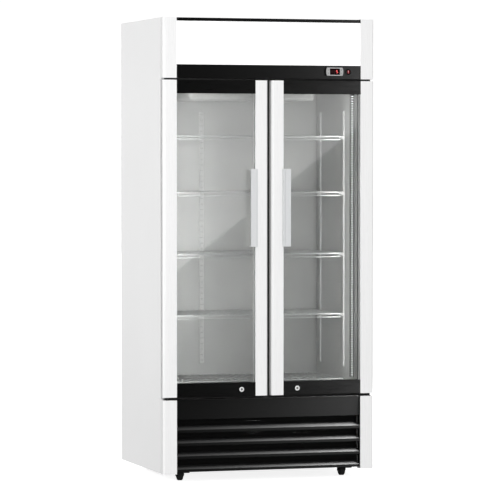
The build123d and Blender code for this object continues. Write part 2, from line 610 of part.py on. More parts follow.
louvres = [louvre(FIRST_BLADE - BLADE_PITCH * index) for index in range(BLADE_COUNT)]
grille_bottom = FIRST_BLADE - BLADE_PITCH * (BLADE_COUNT - 1) - BLADE_LIP
with BuildPart() as base_grille:
    wide = (-BETWEEN_POSTS, BETWEEN_POSTS)
    block(wide, (GRILLE_FACE, GRILLE_FACE + 2), (PANEL_BOTTOM, PANEL_TOP))
    block(wide, (GRILLE_FACE, CABINET_FRONT - 6), (PANEL_TOP - 2, PANEL_TOP))
    fillet(base_grille.edges().filter_by(Axis.X).group_by(Axis.Z)[-1].sort_by(Axis.Y)[0], 1.6)
    block(wide, (GRILLE_FACE, GRILLE_FACE + 14), (PANEL_BOTTOM, PANEL_BOTTOM + 2))
    for _, side in SIDES:
        block(across(side, BETWEEN_POSTS - 2.5, BETWEEN_POSTS), (GRILLE_FACE, FRONT + 30),
              (grille_bottom, PANEL_TOP))
        # keeper slot, long enough for the lock's cam to swing down into it
        block(across(side, LOCK_X - 8, LOCK_X + CAM_REACH - 8), (FRONT + 16, FRONT + 28),
              (PANEL_TOP - 5, PANEL_TOP + 1), Mode.SUBTRACT)
    for blade in louvres:
        add(blade)
save(base_grille.part, "base_grille")


# ---------------------------------------------------------------- hinge brackets
PLATE = 3
BUSH_RADIUS = 12.5
pin_x = HALF - PIN_INSET
pin_y = FRONT + PIN_BACK
with BuildPart() as hinge_brackets:
    for _, side in SIDES:
        x = side * pin_x
        plate_y = (FRONT + 6, FRONT + POST_DEPTH)
        block(across(side, POST_INNER + 2, HALF - 12), plate_y, (BASE_TOP, BASE_TOP + PLATE))
        rod((x, pin_y, BASE_TOP + PLATE), (x, pin_y, DOOR_BOTTOM - 0.2), BUSH_RADIUS)
        rod((x, pin_y, BASE_TOP + PLATE), (x, pin_y, DOOR_BOTTOM + PIN_LENGTH), PIN_RADIUS)
        block(across(side, POST_INNER + 2, HALF - 17), plate_y, (HEADER_BOTTOM - PLATE, HEADER_BOTTOM))
        rod((x, pin_y, DOOR_TOP + 0.2), (x, pin_y, HEADER_BOTTOM - PLATE), BUSH_RADIUS)
        rod((x, pin_y, DOOR_TOP - PIN_LENGTH), (x, pin_y, HEADER_BOTTOM - PLATE), PIN_RADIUS)
save(hinge_brackets.part, "hinge_brackets")


# ---------------------------------------------------------------- doors
door_back = FRONT + DOOR_FRAME
glass_front = FRONT + GLASS_RECESS
glass_back = glass_front + GLASS_UNIT
stile_edge = DOOR_INNER + HANDLE_STILE
glass_x = (stile_edge - GLASS_BITE, POST_INNER + GLASS_BITE)
glass_z = (DOOR_BOTTOM + BOTTOM_RAIL - GLASS_BITE, DOOR_TOP - TOP_RAIL + GLASS_BITE)
REBATE = 0.3
BARREL_RADIUS, BARREL_HEAD, PLUG_RADIUS = 8, 10.5, 5
POCKET_DEPTH, CAM_THICK = 8, 3
pocket_front = FRONT + 17
GRIP_WIDTH, GRIP_THICK = 29, 5


def glass_rebate(side):
    """Cut the groove that holds the glass unit."""
    block(across(side, glass_x[0] - REBATE, glass_x[1] + REBATE),
          (glass_front - REBATE, glass_back + REBATE), (glass_z[0] - REBATE, glass_z[1] + REBATE),
          Mode.SUBTRACT)


for word, side in SIDES:
    door = f"door_{word}"

    with BuildPart() as hinge_stile:
        with BuildSketch(Plane.XY.offset(DOOR_BOTTOM)):
            with BuildLine():
                inner, outer = side * POST_INNER, side * HALF
                bevel = 6
                Line((inner, FRONT), (outer - side * POST_CORNER, FRONT))
                RadiusArc((outer - side * POST_CORNER, FRONT), (outer, FRONT + POST_CORNER),
                          -side * POST_CORNER)
                Polyline((outer, FRONT + POST_CORNER), (outer, door_back - bevel),
                         (outer - side * bevel, door_back), (inner, door_back), (inner, FRONT))
            make_face()
        extrude(amount=DOOR_HEIGHT)
        glass_rebate(side)
        bore = PIN_RADIUS + PIN_CLEARANCE
        socket = PIN_LENGTH + 2
        for low, high in ((DOOR_BOTTOM - 1, DOOR_BOTTOM + socket), (DOOR_TOP - socket, DOOR_TOP + 1)):
            rod((side * pin_x, pin_y, low), (side * pin_x, pin_y, high), bore, Mode.SUBTRACT)
    save(hinge_stile.part, f"{door}_hinge_stile")

    with BuildPart() as handle_stile:
        block(across(side, DOOR_INNER, stile_edge), (FRONT, door_back), (DOOR_BOTTOM, DOOR_TOP))
        verticals = handle_stile.edges().filter_by(Axis.Z)
        fillet(verticals.sort_by(lambda e: -side * e.center().X - e.center().Y)[-1], POST_CORNER)
        glass_rebate(side)
    save(handle_stile.part, f"{door}_handle_stile")

    with BuildPart() as rails:
        rail_x = across(side, stile_edge, POST_INNER)
        for z in ((DOOR_BOTTOM, DOOR_BOTTOM + BOTTOM_RAIL), (DOOR_TOP - TOP_RAIL, DOOR_TOP)):
            block(rail_x, (FRONT, door_back), z)
        fillet(rails.edges().filter_by(Axis.X).filter_by(lambda e: e.center().Y < FRONT + 1), 1.5)
        glass_rebate(side)
        # the bore for the lock, and behind it a pocket, open below, where the lock's cam turns
        block(across(side, LOCK_X - 9, LOCK_X + CAM_REACH + 6), (pocket_front, pocket_front + POCKET_DEPTH),
              (DOOR_BOTTOM - 1, LOCK_Z + 8), Mode.SUBTRACT)
        rod((side * LOCK_X, FRONT - 1, LOCK_Z), (side * LOCK_X, pocket_front + 1, LOCK_Z),
            BARREL_RADIUS + 0.1, Mode.SUBTRACT)
    save(rails.part, f"{door}_rails")

    # two panes and the spacer between their edges
    pane_y = ((glass_front, glass_front + GLASS_THICK), (glass_back - GLASS_THICK, glass_back))
    solids = []
    for y in pane_y:
        with BuildPart() as pane:
            block(across(side, *glass_x), y, glass_z)
        solids.append(pane.part.solid())
    with BuildPart() as spacer:
        gap_y = (pane_y[0][1], pane_y[1][0])
        block(across(side, glass_x[0], glass_x[1]), gap_y, glass_z)
        block(across(side, glass_x[0] + 9, glass_x[1] - 9), (gap_y[0] - 1, gap_y[1] + 1),
              (glass_z[0] + 9, glass_z[1] - 9), Mode.SUBTRACT)
    solids.append(spacer.part.solid())
    save(Compound(children=solids), f"{door}_glass_unit")

    with BuildPart() as gasket:
        outline_x = (DOOR_INNER + 8, HALF - PIN_INSET - 2)
        outline_z = (DOOR_BOTTOM + 14, DOOR_TOP - 14)
        gasket_y = (door_back, door_back + GASKET_DEPTH)
        block(across(side, *outline_x), gasket_y, outline_z)
        block(across(side, outline_x[0] + GASKET_WIDTH, outline_x[1] - GASKET_WIDTH),
              (gasket_y[0] - 1, gasket_y[1] + 1),
              (outline_z[0] + GASKET_WIDTH, outline_z[1] - GASKET_WIDTH), Mode.SUBTRACT)
    save(gasket.part, f"{door}_gasket")

    # the handle is a wing beside the stile: a web on the stile's inner face and a grip in front
    with BuildPart() as handle:
        with BuildSketch(Plane.XY.offset(HANDLE_BOTTOM)):
            with BuildLine():
                web, grip_edge = side * stile_edge, side * (stile_edge + GRIP_WIDTH)
                grip_front, grip_back = FRONT - HANDLE_PROUD, FRONT - HANDLE_PROUD + GRIP_THICK
                outside, inside = web - side * 5, web + side * 4
                tip = grip_edge - side * GRIP_THICK / 2
                Polyline((web, FRONT + 10), (web, FRONT), (outside, FRONT), (outside, grip_front + 7))
                RadiusArc((outside, grip_front + 7), (web + side * 2, grip_front), side * 7)
                Line((web + side * 2, grip_front), (tip, grip_front))
                RadiusArc((tip, grip_front), (tip, grip_back), side * GRIP_THICK / 2)
                Polyline((tip, grip_back), (inside, grip_back), (inside, FRONT + 10), (web, FRONT + 10))
            make_face()
        extrude(amount=HANDLE_TOP - HANDLE_BOTTOM)
        # closed ends join the grip to the web
        for z in ((HANDLE_BOTTOM, HANDLE_BOTTOM + 3), (HANDLE_TOP - 3, HANDLE_TOP)):
            block(across(side, stile_edge, stile_edge + 26), (FRONT - HANDLE_PROUD + 3, FRONT + 4), z)
    save(handle.part, f"{door}_handle")

    with BuildPart() as lock_barrel:
        x = side * LOCK_X
        rod((x, FRONT - 2.5, LOCK_Z), (x, FRONT, LOCK_Z), BARREL_HEAD)
        fillet(lock_barrel.edges().filter_by(GeomType.CIRCLE).sort_by(Axis.Y)[0], 1.6)
        rod((x, FRONT, LOCK_Z), (x, pocket_front, LOCK_Z), BARREL_RADIUS)
        rod((x, FRONT - 4, LOCK_Z), (x, pocket_front + 1, LOCK_Z), PLUG_RADIUS + PIN_CLEARANCE,
            Mode.SUBTRACT)
    save(lock_barrel.part, f"{door}_lock_barrel")

    with BuildPart() as lock_plug:
        cam_y = (pocket_front + 2, pocket_front + 2 + CAM_THICK)
        rod((x, FRONT - 2, LOCK_Z), (x, cam_y[1] + 1, LOCK_Z), PLUG_RADIUS)
        block((x - 3.5, x + 3.5), (FRONT - 3, FRONT + 1), (LOCK_Z - 0.8, LOCK_Z + 0.8), Mode.SUBTRACT)
        block(across(side, LOCK_X - 5, LOCK_X + CAM_REACH), cam_y, (LOCK_Z - 5, LOCK_Z + 5))
        tip = lock_plug.edges().filter_by(Axis.Y).sort_by(lambda e: side * e.center().X)[-2:]
        fillet(tip, 4)
    save(lock_plug.part, f"{door}_lock_plug")


# ---------------------------------------------------------------- castors
LEG_INNER, LEG = 13.5, 3
PEDAL_PIVOT_Y, PEDAL_PIVOT_Z = -24, 68
PEDAL_PIN = 2.5
PEDAL_HALF, TOE_HALF = 12.7, 27
WHEEL_GAP = 0.05


def castor_legs(x, axle_y, top_y, top_z):
    """Two legs, wide at top_z and round at the foot, joined by the axle."""
    with BuildPart() as legs:
        for inner in (-LEG_INNER - LEG, LEG_INNER):
            with BuildSketch(Plane.YZ.offset(x + inner)):
                with BuildLine():
                    Polyline((axle_y - 9, WHEEL_RADIUS), (top_y[0], top_z), (top_y[1], top_z),
                             (axle_y + 9, WHEEL_RADIUS))
                    RadiusArc((axle_y + 9, WHEEL_RADIUS), (axle_y - 9, WHEEL_RADIUS), 9)
                make_face()
            extrude(amount=LEG)
        reach = LEG_INNER + LEG + 3
        rod((x - reach, axle_y, WHEEL_RADIUS), (x + reach, axle_y, WHEEL_RADIUS), AXLE_RADIUS)
    return legs.part


def castor_wheel(x, axle_y):
    """A crowned wheel with a hub."""
    with BuildPart() as wheel:
        rod((x - WHEEL_HALF_WIDTH, axle_y, WHEEL_RADIUS), (x + WHEEL_HALF_WIDTH, axle_y, WHEEL_RADIUS),
            WHEEL_RADIUS)
        fillet(wheel.edges().filter_by(GeomType.CIRCLE), 5)
        hub = WHEEL_HALF_WIDTH + 2
        rod((x - hub, axle_y, WHEEL_RADIUS), (x + hub, axle_y, WHEEL_RADIUS), 8)
        rod((x - hub - 1, axle_y, WHEEL_RADIUS), (x + hub + 1, axle_y, WHEEL_RADIUS),
            AXLE_RADIUS + WHEEL_GAP, Mode.SUBTRACT)
    return wheel.part


for word, side in SIDES:
    x = side * CASTOR_X
    swivel_y = CASTOR_FRONT_Y + CASTOR_TRAIL
    pivot_y = CASTOR_FRONT_Y + PEDAL_PIVOT_Y
    with BuildPart() as fork:
        rod((x, swivel_y, 92), (x, swivel_y, 98), 24)
        rod((x, swivel_y, 86), (x, swivel_y, 99), 6 + PIN_CLEARANCE, Mode.SUBTRACT)
        block((x - LEG_INNER - LEG, x + LEG_INNER + LEG), (swivel_y - 40, swivel_y + 14), (98, 101))
        rod((x, swivel_y, 86), (x, swivel_y, 102), 6 + PIN_CLEARANCE, Mode.SUBTRACT)
        add(castor_legs(x, CASTOR_FRONT_Y, (swivel_y - 40, swivel_y + 14), 98))
        reach = LEG_INNER + LEG
        for ear in (-1, 1):
            ear_x = tuple(sorted((x + ear * LEG_INNER, x + ear * reach)))
            block(ear_x, (pivot_y - 6, pivot_y + 16), (PEDAL_PIVOT_Z - 7, PEDAL_PIVOT_Z + 9))
        rod((x - reach, pivot_y, PEDAL_PIVOT_Z), (x + reach, pivot_y, PEDAL_PIVOT_Z), PEDAL_PIN)
    save(fork.part, f"castor_fork_front_{word}")

    save(castor_wheel(x, CASTOR_FRONT_Y), f"castor_wheel_front_{word}")

    # the brake pedal turns on the fork's small pin, and its wide toe stands clear of the fork
    with BuildPart() as pedal:
        with BuildSketch(Plane.YZ.offset(x - PEDAL_HALF)):
            with Locations((pivot_y, PEDAL_PIVOT_Z)):
                Circle(6)
            with BuildLine():
                Polyline((pivot_y - 5, PEDAL_PIVOT_Z + 3), (pivot_y - 34, 46), (pivot_y - 34, 42),
                         (pivot_y - 4, PEDAL_PIVOT_Z - 5), close=True)
            make_face()
        extrude(amount=2 * PEDAL_HALF)
        with BuildSketch(Plane.YZ.offset(x - TOE_HALF)):
            with BuildLine():
                Polyline((pivot_y - 20, 55), (pivot_y - 38, 43), (pivot_y - 38, 37), (pivot_y - 20, 49),
                         close=True)
            make_face()
        extrude(amount=2 * TOE_HALF)
        rod((x - 20, pivot_y, PEDAL_PIVOT_Z), (x + 20, pivot_y, PEDAL_PIVOT_Z), PEDAL_PIN + PIN_CLEARANCE,
            Mode.SUBTRACT)
    save(pedal.part, f"brake_pedal_{word}")

with BuildPart() as rear_castor_brackets:
    for _, side in SIDES:
        x = side * CASTOR_X
        block((x - 30, x + 30), (CASTOR_REAR_Y - 32, CASTOR_REAR_Y + 32), (TRAY_BOTTOM - 3, TRAY_BOTTOM))
        add(castor_legs(x, CASTOR_REAR_Y, (CASTOR_REAR_Y - 24, CASTOR_REAR_Y + 24), TRAY_BOTTOM - 3))
save(rear_castor_brackets.part, "rear_castor_brackets")

for word, side in SIDES:
    save(castor_wheel(side * CASTOR_X, CASTOR_REAR_Y), f"castor_wheel_rear_{word}")
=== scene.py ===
import json
import math

import bmesh
import bpy
from mathutils import Matrix, Vector

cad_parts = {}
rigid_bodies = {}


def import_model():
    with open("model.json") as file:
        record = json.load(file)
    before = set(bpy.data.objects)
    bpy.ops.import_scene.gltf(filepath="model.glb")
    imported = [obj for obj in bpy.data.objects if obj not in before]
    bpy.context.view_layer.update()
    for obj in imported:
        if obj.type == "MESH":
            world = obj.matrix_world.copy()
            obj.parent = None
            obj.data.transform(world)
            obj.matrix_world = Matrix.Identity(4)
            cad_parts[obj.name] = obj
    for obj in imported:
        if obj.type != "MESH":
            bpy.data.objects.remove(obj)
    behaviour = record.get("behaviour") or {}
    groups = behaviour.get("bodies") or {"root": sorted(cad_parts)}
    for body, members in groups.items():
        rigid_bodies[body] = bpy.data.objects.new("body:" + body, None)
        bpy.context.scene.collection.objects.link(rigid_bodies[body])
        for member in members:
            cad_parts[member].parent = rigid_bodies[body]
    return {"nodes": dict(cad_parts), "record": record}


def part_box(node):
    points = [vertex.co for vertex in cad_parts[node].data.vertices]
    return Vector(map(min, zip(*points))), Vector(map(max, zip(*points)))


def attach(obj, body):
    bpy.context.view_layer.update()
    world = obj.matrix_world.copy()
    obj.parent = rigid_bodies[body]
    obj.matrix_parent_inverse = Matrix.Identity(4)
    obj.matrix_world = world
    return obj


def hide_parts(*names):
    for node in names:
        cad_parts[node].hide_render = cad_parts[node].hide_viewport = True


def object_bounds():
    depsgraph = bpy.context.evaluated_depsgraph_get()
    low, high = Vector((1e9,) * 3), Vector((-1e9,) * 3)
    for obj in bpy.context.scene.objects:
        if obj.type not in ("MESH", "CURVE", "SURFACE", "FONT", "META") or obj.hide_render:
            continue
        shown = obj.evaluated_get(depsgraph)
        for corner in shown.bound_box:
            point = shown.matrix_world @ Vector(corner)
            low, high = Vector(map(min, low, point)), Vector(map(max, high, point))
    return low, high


# Looks of the two-door glass merchandiser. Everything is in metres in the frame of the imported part.

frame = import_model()
nodes = frame["nodes"]
scene = bpy.context.scene
cad_low, cad_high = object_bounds()
SIDES = (("left", -1), ("right", 1))
MM = 0.001


# ---------------------------------------------------------------- materials
def grey(value, warm=0.0):
    """A linear grey, a little warmer or cooler than neutral."""
    return (value * (1 + warm), value, value * (1 - warm), 1.0)


def texture_space(tree, stretch):
    """Coordinates fixed to the piece itself, stretched along its axes."""
    coordinates = tree.nodes.new("ShaderNodeTexCoord")
    mapping = tree.nodes.new("ShaderNodeMapping")
    mapping.inputs["Scale"].default_value = stretch
    tree.links.new(coordinates.outputs["Object"], mapping.inputs["Vector"])
    return mapping.outputs["Vector"]


def noise(tree, vector, scale, detail=3.0):
    node = tree.nodes.new("ShaderNodeTexNoise")
    node.inputs["Scale"].default_value = scale
    node.inputs["Detail"].default_value = detail
    tree.links.new(vector, node.inputs["Vector"])
    return node.outputs["Fac"]


def spread(tree, value, low, high, start=0.3, end=0.7):
    """Map a noise value to the range from low to high."""
    node = tree.nodes.new("ShaderNodeMapRange")
    node.inputs["From Min"].default_value = start
    node.inputs["From Max"].default_value = end
    node.inputs["To Min"].default_value = low
    node.inputs["To Max"].default_value = high
    tree.links.new(value, node.inputs["Value"])
    return node.outputs["Result"]


def blend_colours(tree, value, first, second):
    node = tree.nodes.new("ShaderNodeMix")
    node.data_type = "RGBA"
    colour_inputs = [s for s in node.inputs if s.type == "RGBA"]
    colour_inputs[0].default_value = first
    colour_inputs[1].default_value = second
    tree.links.new(value, node.inputs["Factor"])
    return [s for s in node.outputs if s.type == "RGBA"][0]


def surface(name, colour, rough, metallic=0.0, tone=0.05, tone_scale=8.0, stretch=(1, 1, 1),
            grain=0.12, grain_scale=700.0, grain_depth=0.15, uneven=0.06, gloss=0.5, coat=0.0,
            glow=0.0, glow_colour=None):
    """A finish whose tone, roughness and relief vary over the piece; grain_depth is in millimetres."""
    material = bpy.data.materials.new(name)
    material.use_nodes = True
    tree = material.node_tree
    shader = tree.nodes["Principled BSDF"]
    vector = texture_space(tree, stretch)
    darker = tuple(c * (1 - tone) for c in colour[:3]) + (1.0,)
    lighter = tuple(min(c * (1 + tone), 1.0) for c in colour[:3]) + (1.0,)
    patches = spread(tree, noise(tree, vector, tone_scale, 5.0), 0.0, 1.0)
    tree.links.new(blend_colours(tree, patches, darker, lighter), shader.inputs["Base Color"])
    fine = noise(tree, vector, grain_scale)
    tree.links.new(spread(tree, fine, rough - uneven, rough + uneven), shader.inputs["Roughness"])
    bump = tree.nodes.new("ShaderNodeBump")
    bump.inputs["Strength"].default_value = grain
    bump.inputs["Distance"].default_value = grain_depth * MM
    tree.links.new(fine, bump.inputs["Height"])
    tree.links.new(bump.outputs["Normal"], shader.inputs["Normal"])
    shader.inputs["Metallic"].default_value = metallic
    shader.inputs["Specular IOR Level"].default_value = gloss
    shader.inputs["Coat Weight"].default_value = coat
    shader.inputs["Coat Roughness"].default_value = 0.12
    if glow:
        shader.inputs["Emission Color"].default_value = glow_colour or colour
        shader.inputs["Emission Strength"].default_value = glow
    return material


GLASS_INDEX = 1.5


def clear_glass():
    """Thin clear glass: see-through, with the reflection and the faint green of a float pane."""
    material = bpy.data.materials.new("float_glass")
    material.use_nodes = True
    tree = material.node_tree
    tree.nodes.remove(tree.nodes["Principled BSDF"])
    vector = texture_space(tree, (1, 1, 1))
    see_through = tree.nodes.new("ShaderNodeBsdfTransparent")
    smear = spread(tree, noise(tree, vector, 2.5, 2.0), 0.0, 1.0)
    tint = blend_colours(tree, smear, (0.966, 0.971, 0.967, 1), (0.976, 0.98, 0.977, 1))
    tree.links.new(tint, see_through.inputs["Color"])
    mirror = tree.nodes.new("ShaderNodeBsdfGlossy")
    tree.links.new(spread(tree, noise(tree, vector, 9.0), 0.015, 0.045), mirror.inputs["Roughness"])
    # the ray isn't bent inside the pane, so back faces take the inverse index of refraction;
    # with the plain index they would mirror everything at steep angles
    facing = tree.nodes.new("ShaderNodeFresnel")
    which_face = tree.nodes.new("ShaderNodeNewGeometry").outputs["Backfacing"]
    tree.links.new(spread(tree, which_face, GLASS_INDEX, 1 / GLASS_INDEX, 0, 1), facing.inputs["IOR"])
    mix = tree.nodes.new("ShaderNodeMixShader")
    tree.links.new(facing.outputs["Fac"], mix.inputs["Fac"])
    tree.links.new(see_through.outputs["BSDF"], mix.inputs[1])
    tree.links.new(mirror.outputs["BSDF"], mix.inputs[2])
    tree.links.new(mix.outputs["Shader"], tree.nodes["Material Output"].inputs["Surface"])
    return material


def louvred_black():
    """Black powder coat whose upward faces are painted lighter: a painted highlight for the light falling
    on them from above.
    """
    material = surface("black_powder_coat_grille", grey(0.0022), 0.40, grain=0.2, grain_scale=1100)
    tree = material.node_tree
    shader = tree.nodes["Principled BSDF"]
    under = shader.inputs["Base Color"].links[0].from_socket
    facing = tree.nodes.new("ShaderNodeNewGeometry")
    split = tree.nodes.new("ShaderNodeSeparateXYZ")
    tree.links.new(facing.outputs["Normal"], split.inputs["Vector"])
    # painted highlight: faces turned upward get a lighter black, as if lit from above
    upward = spread(tree, split.outputs["Z"], 0.0, 1.0, 0.35, 0.8)
    painted_top_highlight = tree.nodes.new("ShaderNodeMix")
    painted_top_highlight.data_type = "RGBA"
    ends = [s for s in painted_top_highlight.inputs if s.type == "RGBA"]
    ends[1].default_value = grey(0.020)
    tree.links.new(under, ends[0])
    tree.links.new(upward, painted_top_highlight.inputs["Factor"])
    tree.links.new([s for s in painted_top_highlight.outputs if s.type == "RGBA"][0], shader.inputs["Base Color"])
    return material


ALONG_Z = (60, 60, 1.5)
finishes = {
    "white_sheet": surface("white_powder_coat", grey(0.80), 0.42, tone=0.012, tone_scale=2.0,
                           grain=0.12, grain_scale=450, grain_depth=0.05, gloss=0.15),
    "white_extrusion": surface("white_extruded_plastic", grey(0.87), 0.30, tone=0.018, tone_scale=3.0,
                               stretch=ALONG_Z, grain=0.15, grain_scale=12, grain_depth=0.08, coat=0.2),
    "galvanised_sheet": surface("galvanised_steel", grey(0.56, -0.02), 0.42, metallic=0.85, tone=0.14,
                                tone_scale=70, grain=0.1, grain_scale=400, uneven=0.1),
    "black_sheet": surface("black_powder_coat", grey(0.0022), 0.36, grain=0.2, grain_scale=1100, tone=0.1),
    "foam": surface("polyurethane_foam", (0.74, 0.62, 0.36, 1), 0.95, tone=0.12, tone_scale=40, grain=0.6,
                    grain_scale=350, grain_depth=0.8, uneven=0.03),
    "liner_sheet": surface("stucco_liner_sheet", grey(0.50), 0.45, tone=0.03, tone_scale=12, grain=0.15,
                           grain_scale=420, grain_depth=0.12),
    "black_plastic": surface("black_moulded_plastic", grey(0.010), 0.48, grain=0.25, grain_scale=900),
    "zinc_steel": surface("zinc_plated_steel", grey(0.66), 0.40, metallic=0.3, tone=0.08,
                          stretch=(20, 20, 2), tone_scale=9),
    "led_profile": surface("anodised_profile", grey(0.30), 0.40, metallic=0.5, stretch=ALONG_Z,
                           tone_scale=4, grain_scale=20),
    "grey_plastic": surface("grey_moulded_plastic", grey(0.47), 0.42, tone=0.03, grain=0.2,
                            grain_scale=800),
    "fin_aluminium": surface("fin_aluminium", grey(0.62), 0.38, metallic=0.9, stretch=(900, 4, 4),
                             tone=0.2, tone_scale=1.0, grain=0.3, grain_scale=1.0),
    "sign_acrylic": surface("lit_opal_acrylic", grey(0.92), 0.28, tone=0.01, tone_scale=4, grain=0.05,
                            glow=0.35, glow_colour=(1, 1, 1, 1)),
    "controller_grey": surface("silver_grey_plastic", grey(0.46), 0.34, metallic=0.1, grain=0.2,
                               grain_scale=2500),
    "switch_black": surface("gloss_black_plastic", grey(0.008), 0.22, grain=0.05, grain_scale=1500),
    "black_grille": louvred_black(),
    "compressor_black": surface("compressor_enamel", grey(0.008), 0.30, grain=0.3, grain_scale=240,
                                grain_depth=0.3, coat=0.4),
    "condenser_fins": surface("condenser_fins", grey(0.35), 0.40, metallic=0.8, stretch=(900, 4, 4),
                              tone=0.25, tone_scale=1.0, grain=0.3, grain_scale=1.0),
    "bracket_black": surface("black_zinc", grey(0.012), 0.40, metallic=0.4, tone=0.15, tone_scale=40),
    "castor_steel": surface("black_castor_steel", grey(0.010), 0.38, metallic=0.3, tone=0.2, tone_scale=50),
    "castor_rubber": surface("tyre_rubber", grey(0.014), 0.72, tone=0.15, tone_scale=60, grain=0.4,
                             grain_scale=900, grain_depth=0.3),
    "shelf_wire": surface("coated_wire", grey(0.60, -0.01), 0.30, tone=0.05, tone_scale=25, metallic=0.35),
    "key_plastic": surface("key_plastic", grey(0.42), 0.38, tone=0.04, grain=0.2, grain_scale=2500),
    "black_rail": surface("black_anodised_rail", grey(0.0022), 0.33, stretch=(1.5, 60, 60), tone=0.12,
                          tone_scale=4, grain=0.1, grain_scale=16),
    "glass": clear_glass(),
    "gasket_rubber": surface("magnetic_gasket", grey(0.020), 0.65, tone=0.08, grain=0.2, grain_scale=500),
    "handle_plastic": surface("handle_plastic", (0.66, 0.67, 0.68, 1), 0.32, tone=0.015, stretch=ALONG_Z,
                              tone_scale=3, grain=0.1, grain_scale=12),
    "lock_chrome": surface("chrome_plate", grey(0.88), 0.25, metallic=0.12, tone=0.04, tone_scale=200,
                           grain=0.05, uneven=0.05),
    "switch_red": surface("lit_red_rocker", (0.17, 0.006, 0.010, 1), 0.25, tone=0.12, tone_scale=300,
                          grain=0.05, glow=0.04, glow_colour=(1.0, 0.03, 0.05, 1)),
    "fan_plastic": surface("fan_plastic", grey(0.016), 0.45, grain=0.2, grain_scale=900),
    "fan_aluminium": surface("fan_blade_aluminium", grey(0.60), 0.34, metallic=0.9, tone=0.08,
                             tone_scale=60, grain=0.2, grain_scale=300),
}
copper = surface("copper_tube", (0.62, 0.30, 0.17, 1), 0.32, metallic=0.95, tone=0.18, tone_scale=30)
plug_steel = surface("plug_steel", grey(0.16), 0.35, metallic=0.3, tone=0.08, tone_scale=200, grain=0.05)
led_board = surface("led_board", grey(0.012), 0.45, tone=0.15, tone_scale=200)
led_light = surface("lit_led", grey(0.9), 0.3, tone=0.02, tone_scale=200, glow=1.0,
                    glow_colour=(0.97, 0.985, 1.0, 1))
display_lens = surface("display_lens", (0.012, 0.004, 0.005, 1), 0.12, tone=0.1, tone_scale=150, grain=0.03)
lit_segment = surface("lit_segment", (0.8, 0.05, 0.05, 1), 0.3, tone=0.05, tone_scale=800, glow=1.3,
                      glow_colour=(1.0, 0.15, 0.15, 1))
dark_segment = surface("unlit_segment", (0.030, 0.006, 0.007, 1), 0.3, tone=0.1, tone_scale=800)
printed_mark = surface("printed_mark", grey(0.09), 0.5, tone=0.1, tone_scale=1500)
lit_mark = surface("lit_mark", (0.9, 0.6, 0.6, 1), 0.3, tone=0.05, tone_scale=900, glow=0.7,
                   glow_colour=(1.0, 0.60, 0.65, 1))


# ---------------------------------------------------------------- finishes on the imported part
slot_of = {}
for entry in frame["record"]["subparts"]:
    slot_of[entry["node"]] = entry["material_slot"]

# pieces made of round wire or turned shapes keep their own smooth shading
ROUND = ("wire_shelf", "floor_rack", "castor_wheel", "evaporator_fan", "condenser_fan", "compressor")


def soften(piece, width):
    """Break the sharp edges of a CAD piece, so that they catch the light."""
    if "custom_normal" in piece.data.attributes:
        piece.data.attributes.remove(piece.data.attributes["custom_normal"])
    for polygon in piece.data.polygons:
        polygon.use_smooth = True
    weld = piece.modifiers.new("weld", "WELD")
    weld.merge_threshold = 0.00001
    bevel = piece.modifiers.new("edges", "BEVEL")
    bevel.width = width
    bevel.segments = 2
    bevel.limit_method = "ANGLE"
    bevel.angle_limit = math.radians(50)
    bevel.harden_normals = True
    normals = piece.modifiers.new("normals", "WEIGHTED_NORMAL")
    normals.keep_sharp = False


# widths of the broken edges in millimetres
EDGE_WIDTH = {"side_panel": 0.4, "door": 0.6, "header_posts": 0.6, "base_posts": 0.6, "controller": 0.15,
              "switch": 0.12}
USUAL_EDGE_WIDTH = 0.3
for name, piece in nodes.items():
    piece.data.materials.clear()
    piece.data.materials.append(plug_steel if name.endswith("lock_plug") else finishes[slot_of[name]])
    if not name.startswith(ROUND):
        width = next((w for start, w in EDGE_WIDTH.items() if name.startswith(start)), USUAL_EDGE_WIDTH)
        soften(piece, width * MM)


# ---------------------------------------------------------------- building pieces
def finish_piece(name, mesh_data, material, body="root", smooth=False):
    """Turn a bmesh into a piece of the object that rides on a body."""
    bmesh.ops.recalc_face_normals(mesh_data, faces=mesh_data.faces)
    mesh = bpy.data.meshes.new(name)
    mesh_data.to_mesh(mesh)
    mesh_data.free()
    mesh.materials.append(material)
    piece = bpy.data.objects.new(name, mesh)
    scene.collection.objects.link(piece)
    for polygon in mesh.polygons:
        polygon.use_smooth = smooth
    if smooth:
        mesh.set_sharp_from_angle(angle=math.radians(40))
    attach(piece, body)
    return piece


def add_block(target, x, y, z, edge):
    """A block over the spans x, y and z with its edges broken by the width edge."""
    made = bmesh.ops.create_cube(target, size=1.0)["verts"]
    centre = Vector(((x[0] + x[1]) / 2, (y[0] + y[1]) / 2, (z[0] + z[1]) / 2))
    for vertex in made:
        vertex.co = Vector((vertex.co.x * abs(x[1] - x[0]), vertex.co.y * abs(y[1] - y[0]),
                            vertex.co.z * abs(z[1] - z[0]))) + centre
    edges = list({e for v in made for e in v.link_edges})
    bmesh.ops.bevel(target, geom=edges, offset=edge, segments=2, affect="EDGES", profile=0.5)


def add_turned(target, profile, centre, axis, segments):
    """Revolve a profile of (radius, height) pairs about an axis; it closes at zero radius."""
    turn = Vector(axis).to_track_quat("Z", "Y").to_matrix()
    rings = []
    for radius, height in profile:
        if radius == 0:
            rings.append([target.verts.new(turn @ Vector((0, 0, height)) + Vector(centre))])
            continue
        ring = []
        for step in range(segments):
            angle = 2 * math.pi * step / segments
            point = Vector((radius * math.cos(angle), radius * math.sin(angle), height))
            ring.append(target.verts.new(turn @ point + Vector(centre)))
        rings.append(ring)
    for lower, upper in zip(rings, rings[1:]):
        for step in range(segments):
            following = (step + 1) % segments
            corners = [lower[step % len(lower)], lower[following % len(lower)],
                       upper[following % len(upper)], upper[step % len(upper)]]
            unique = list(dict.fromkeys(corners))
            if len(unique) > 2:
                target.faces.new(unique)


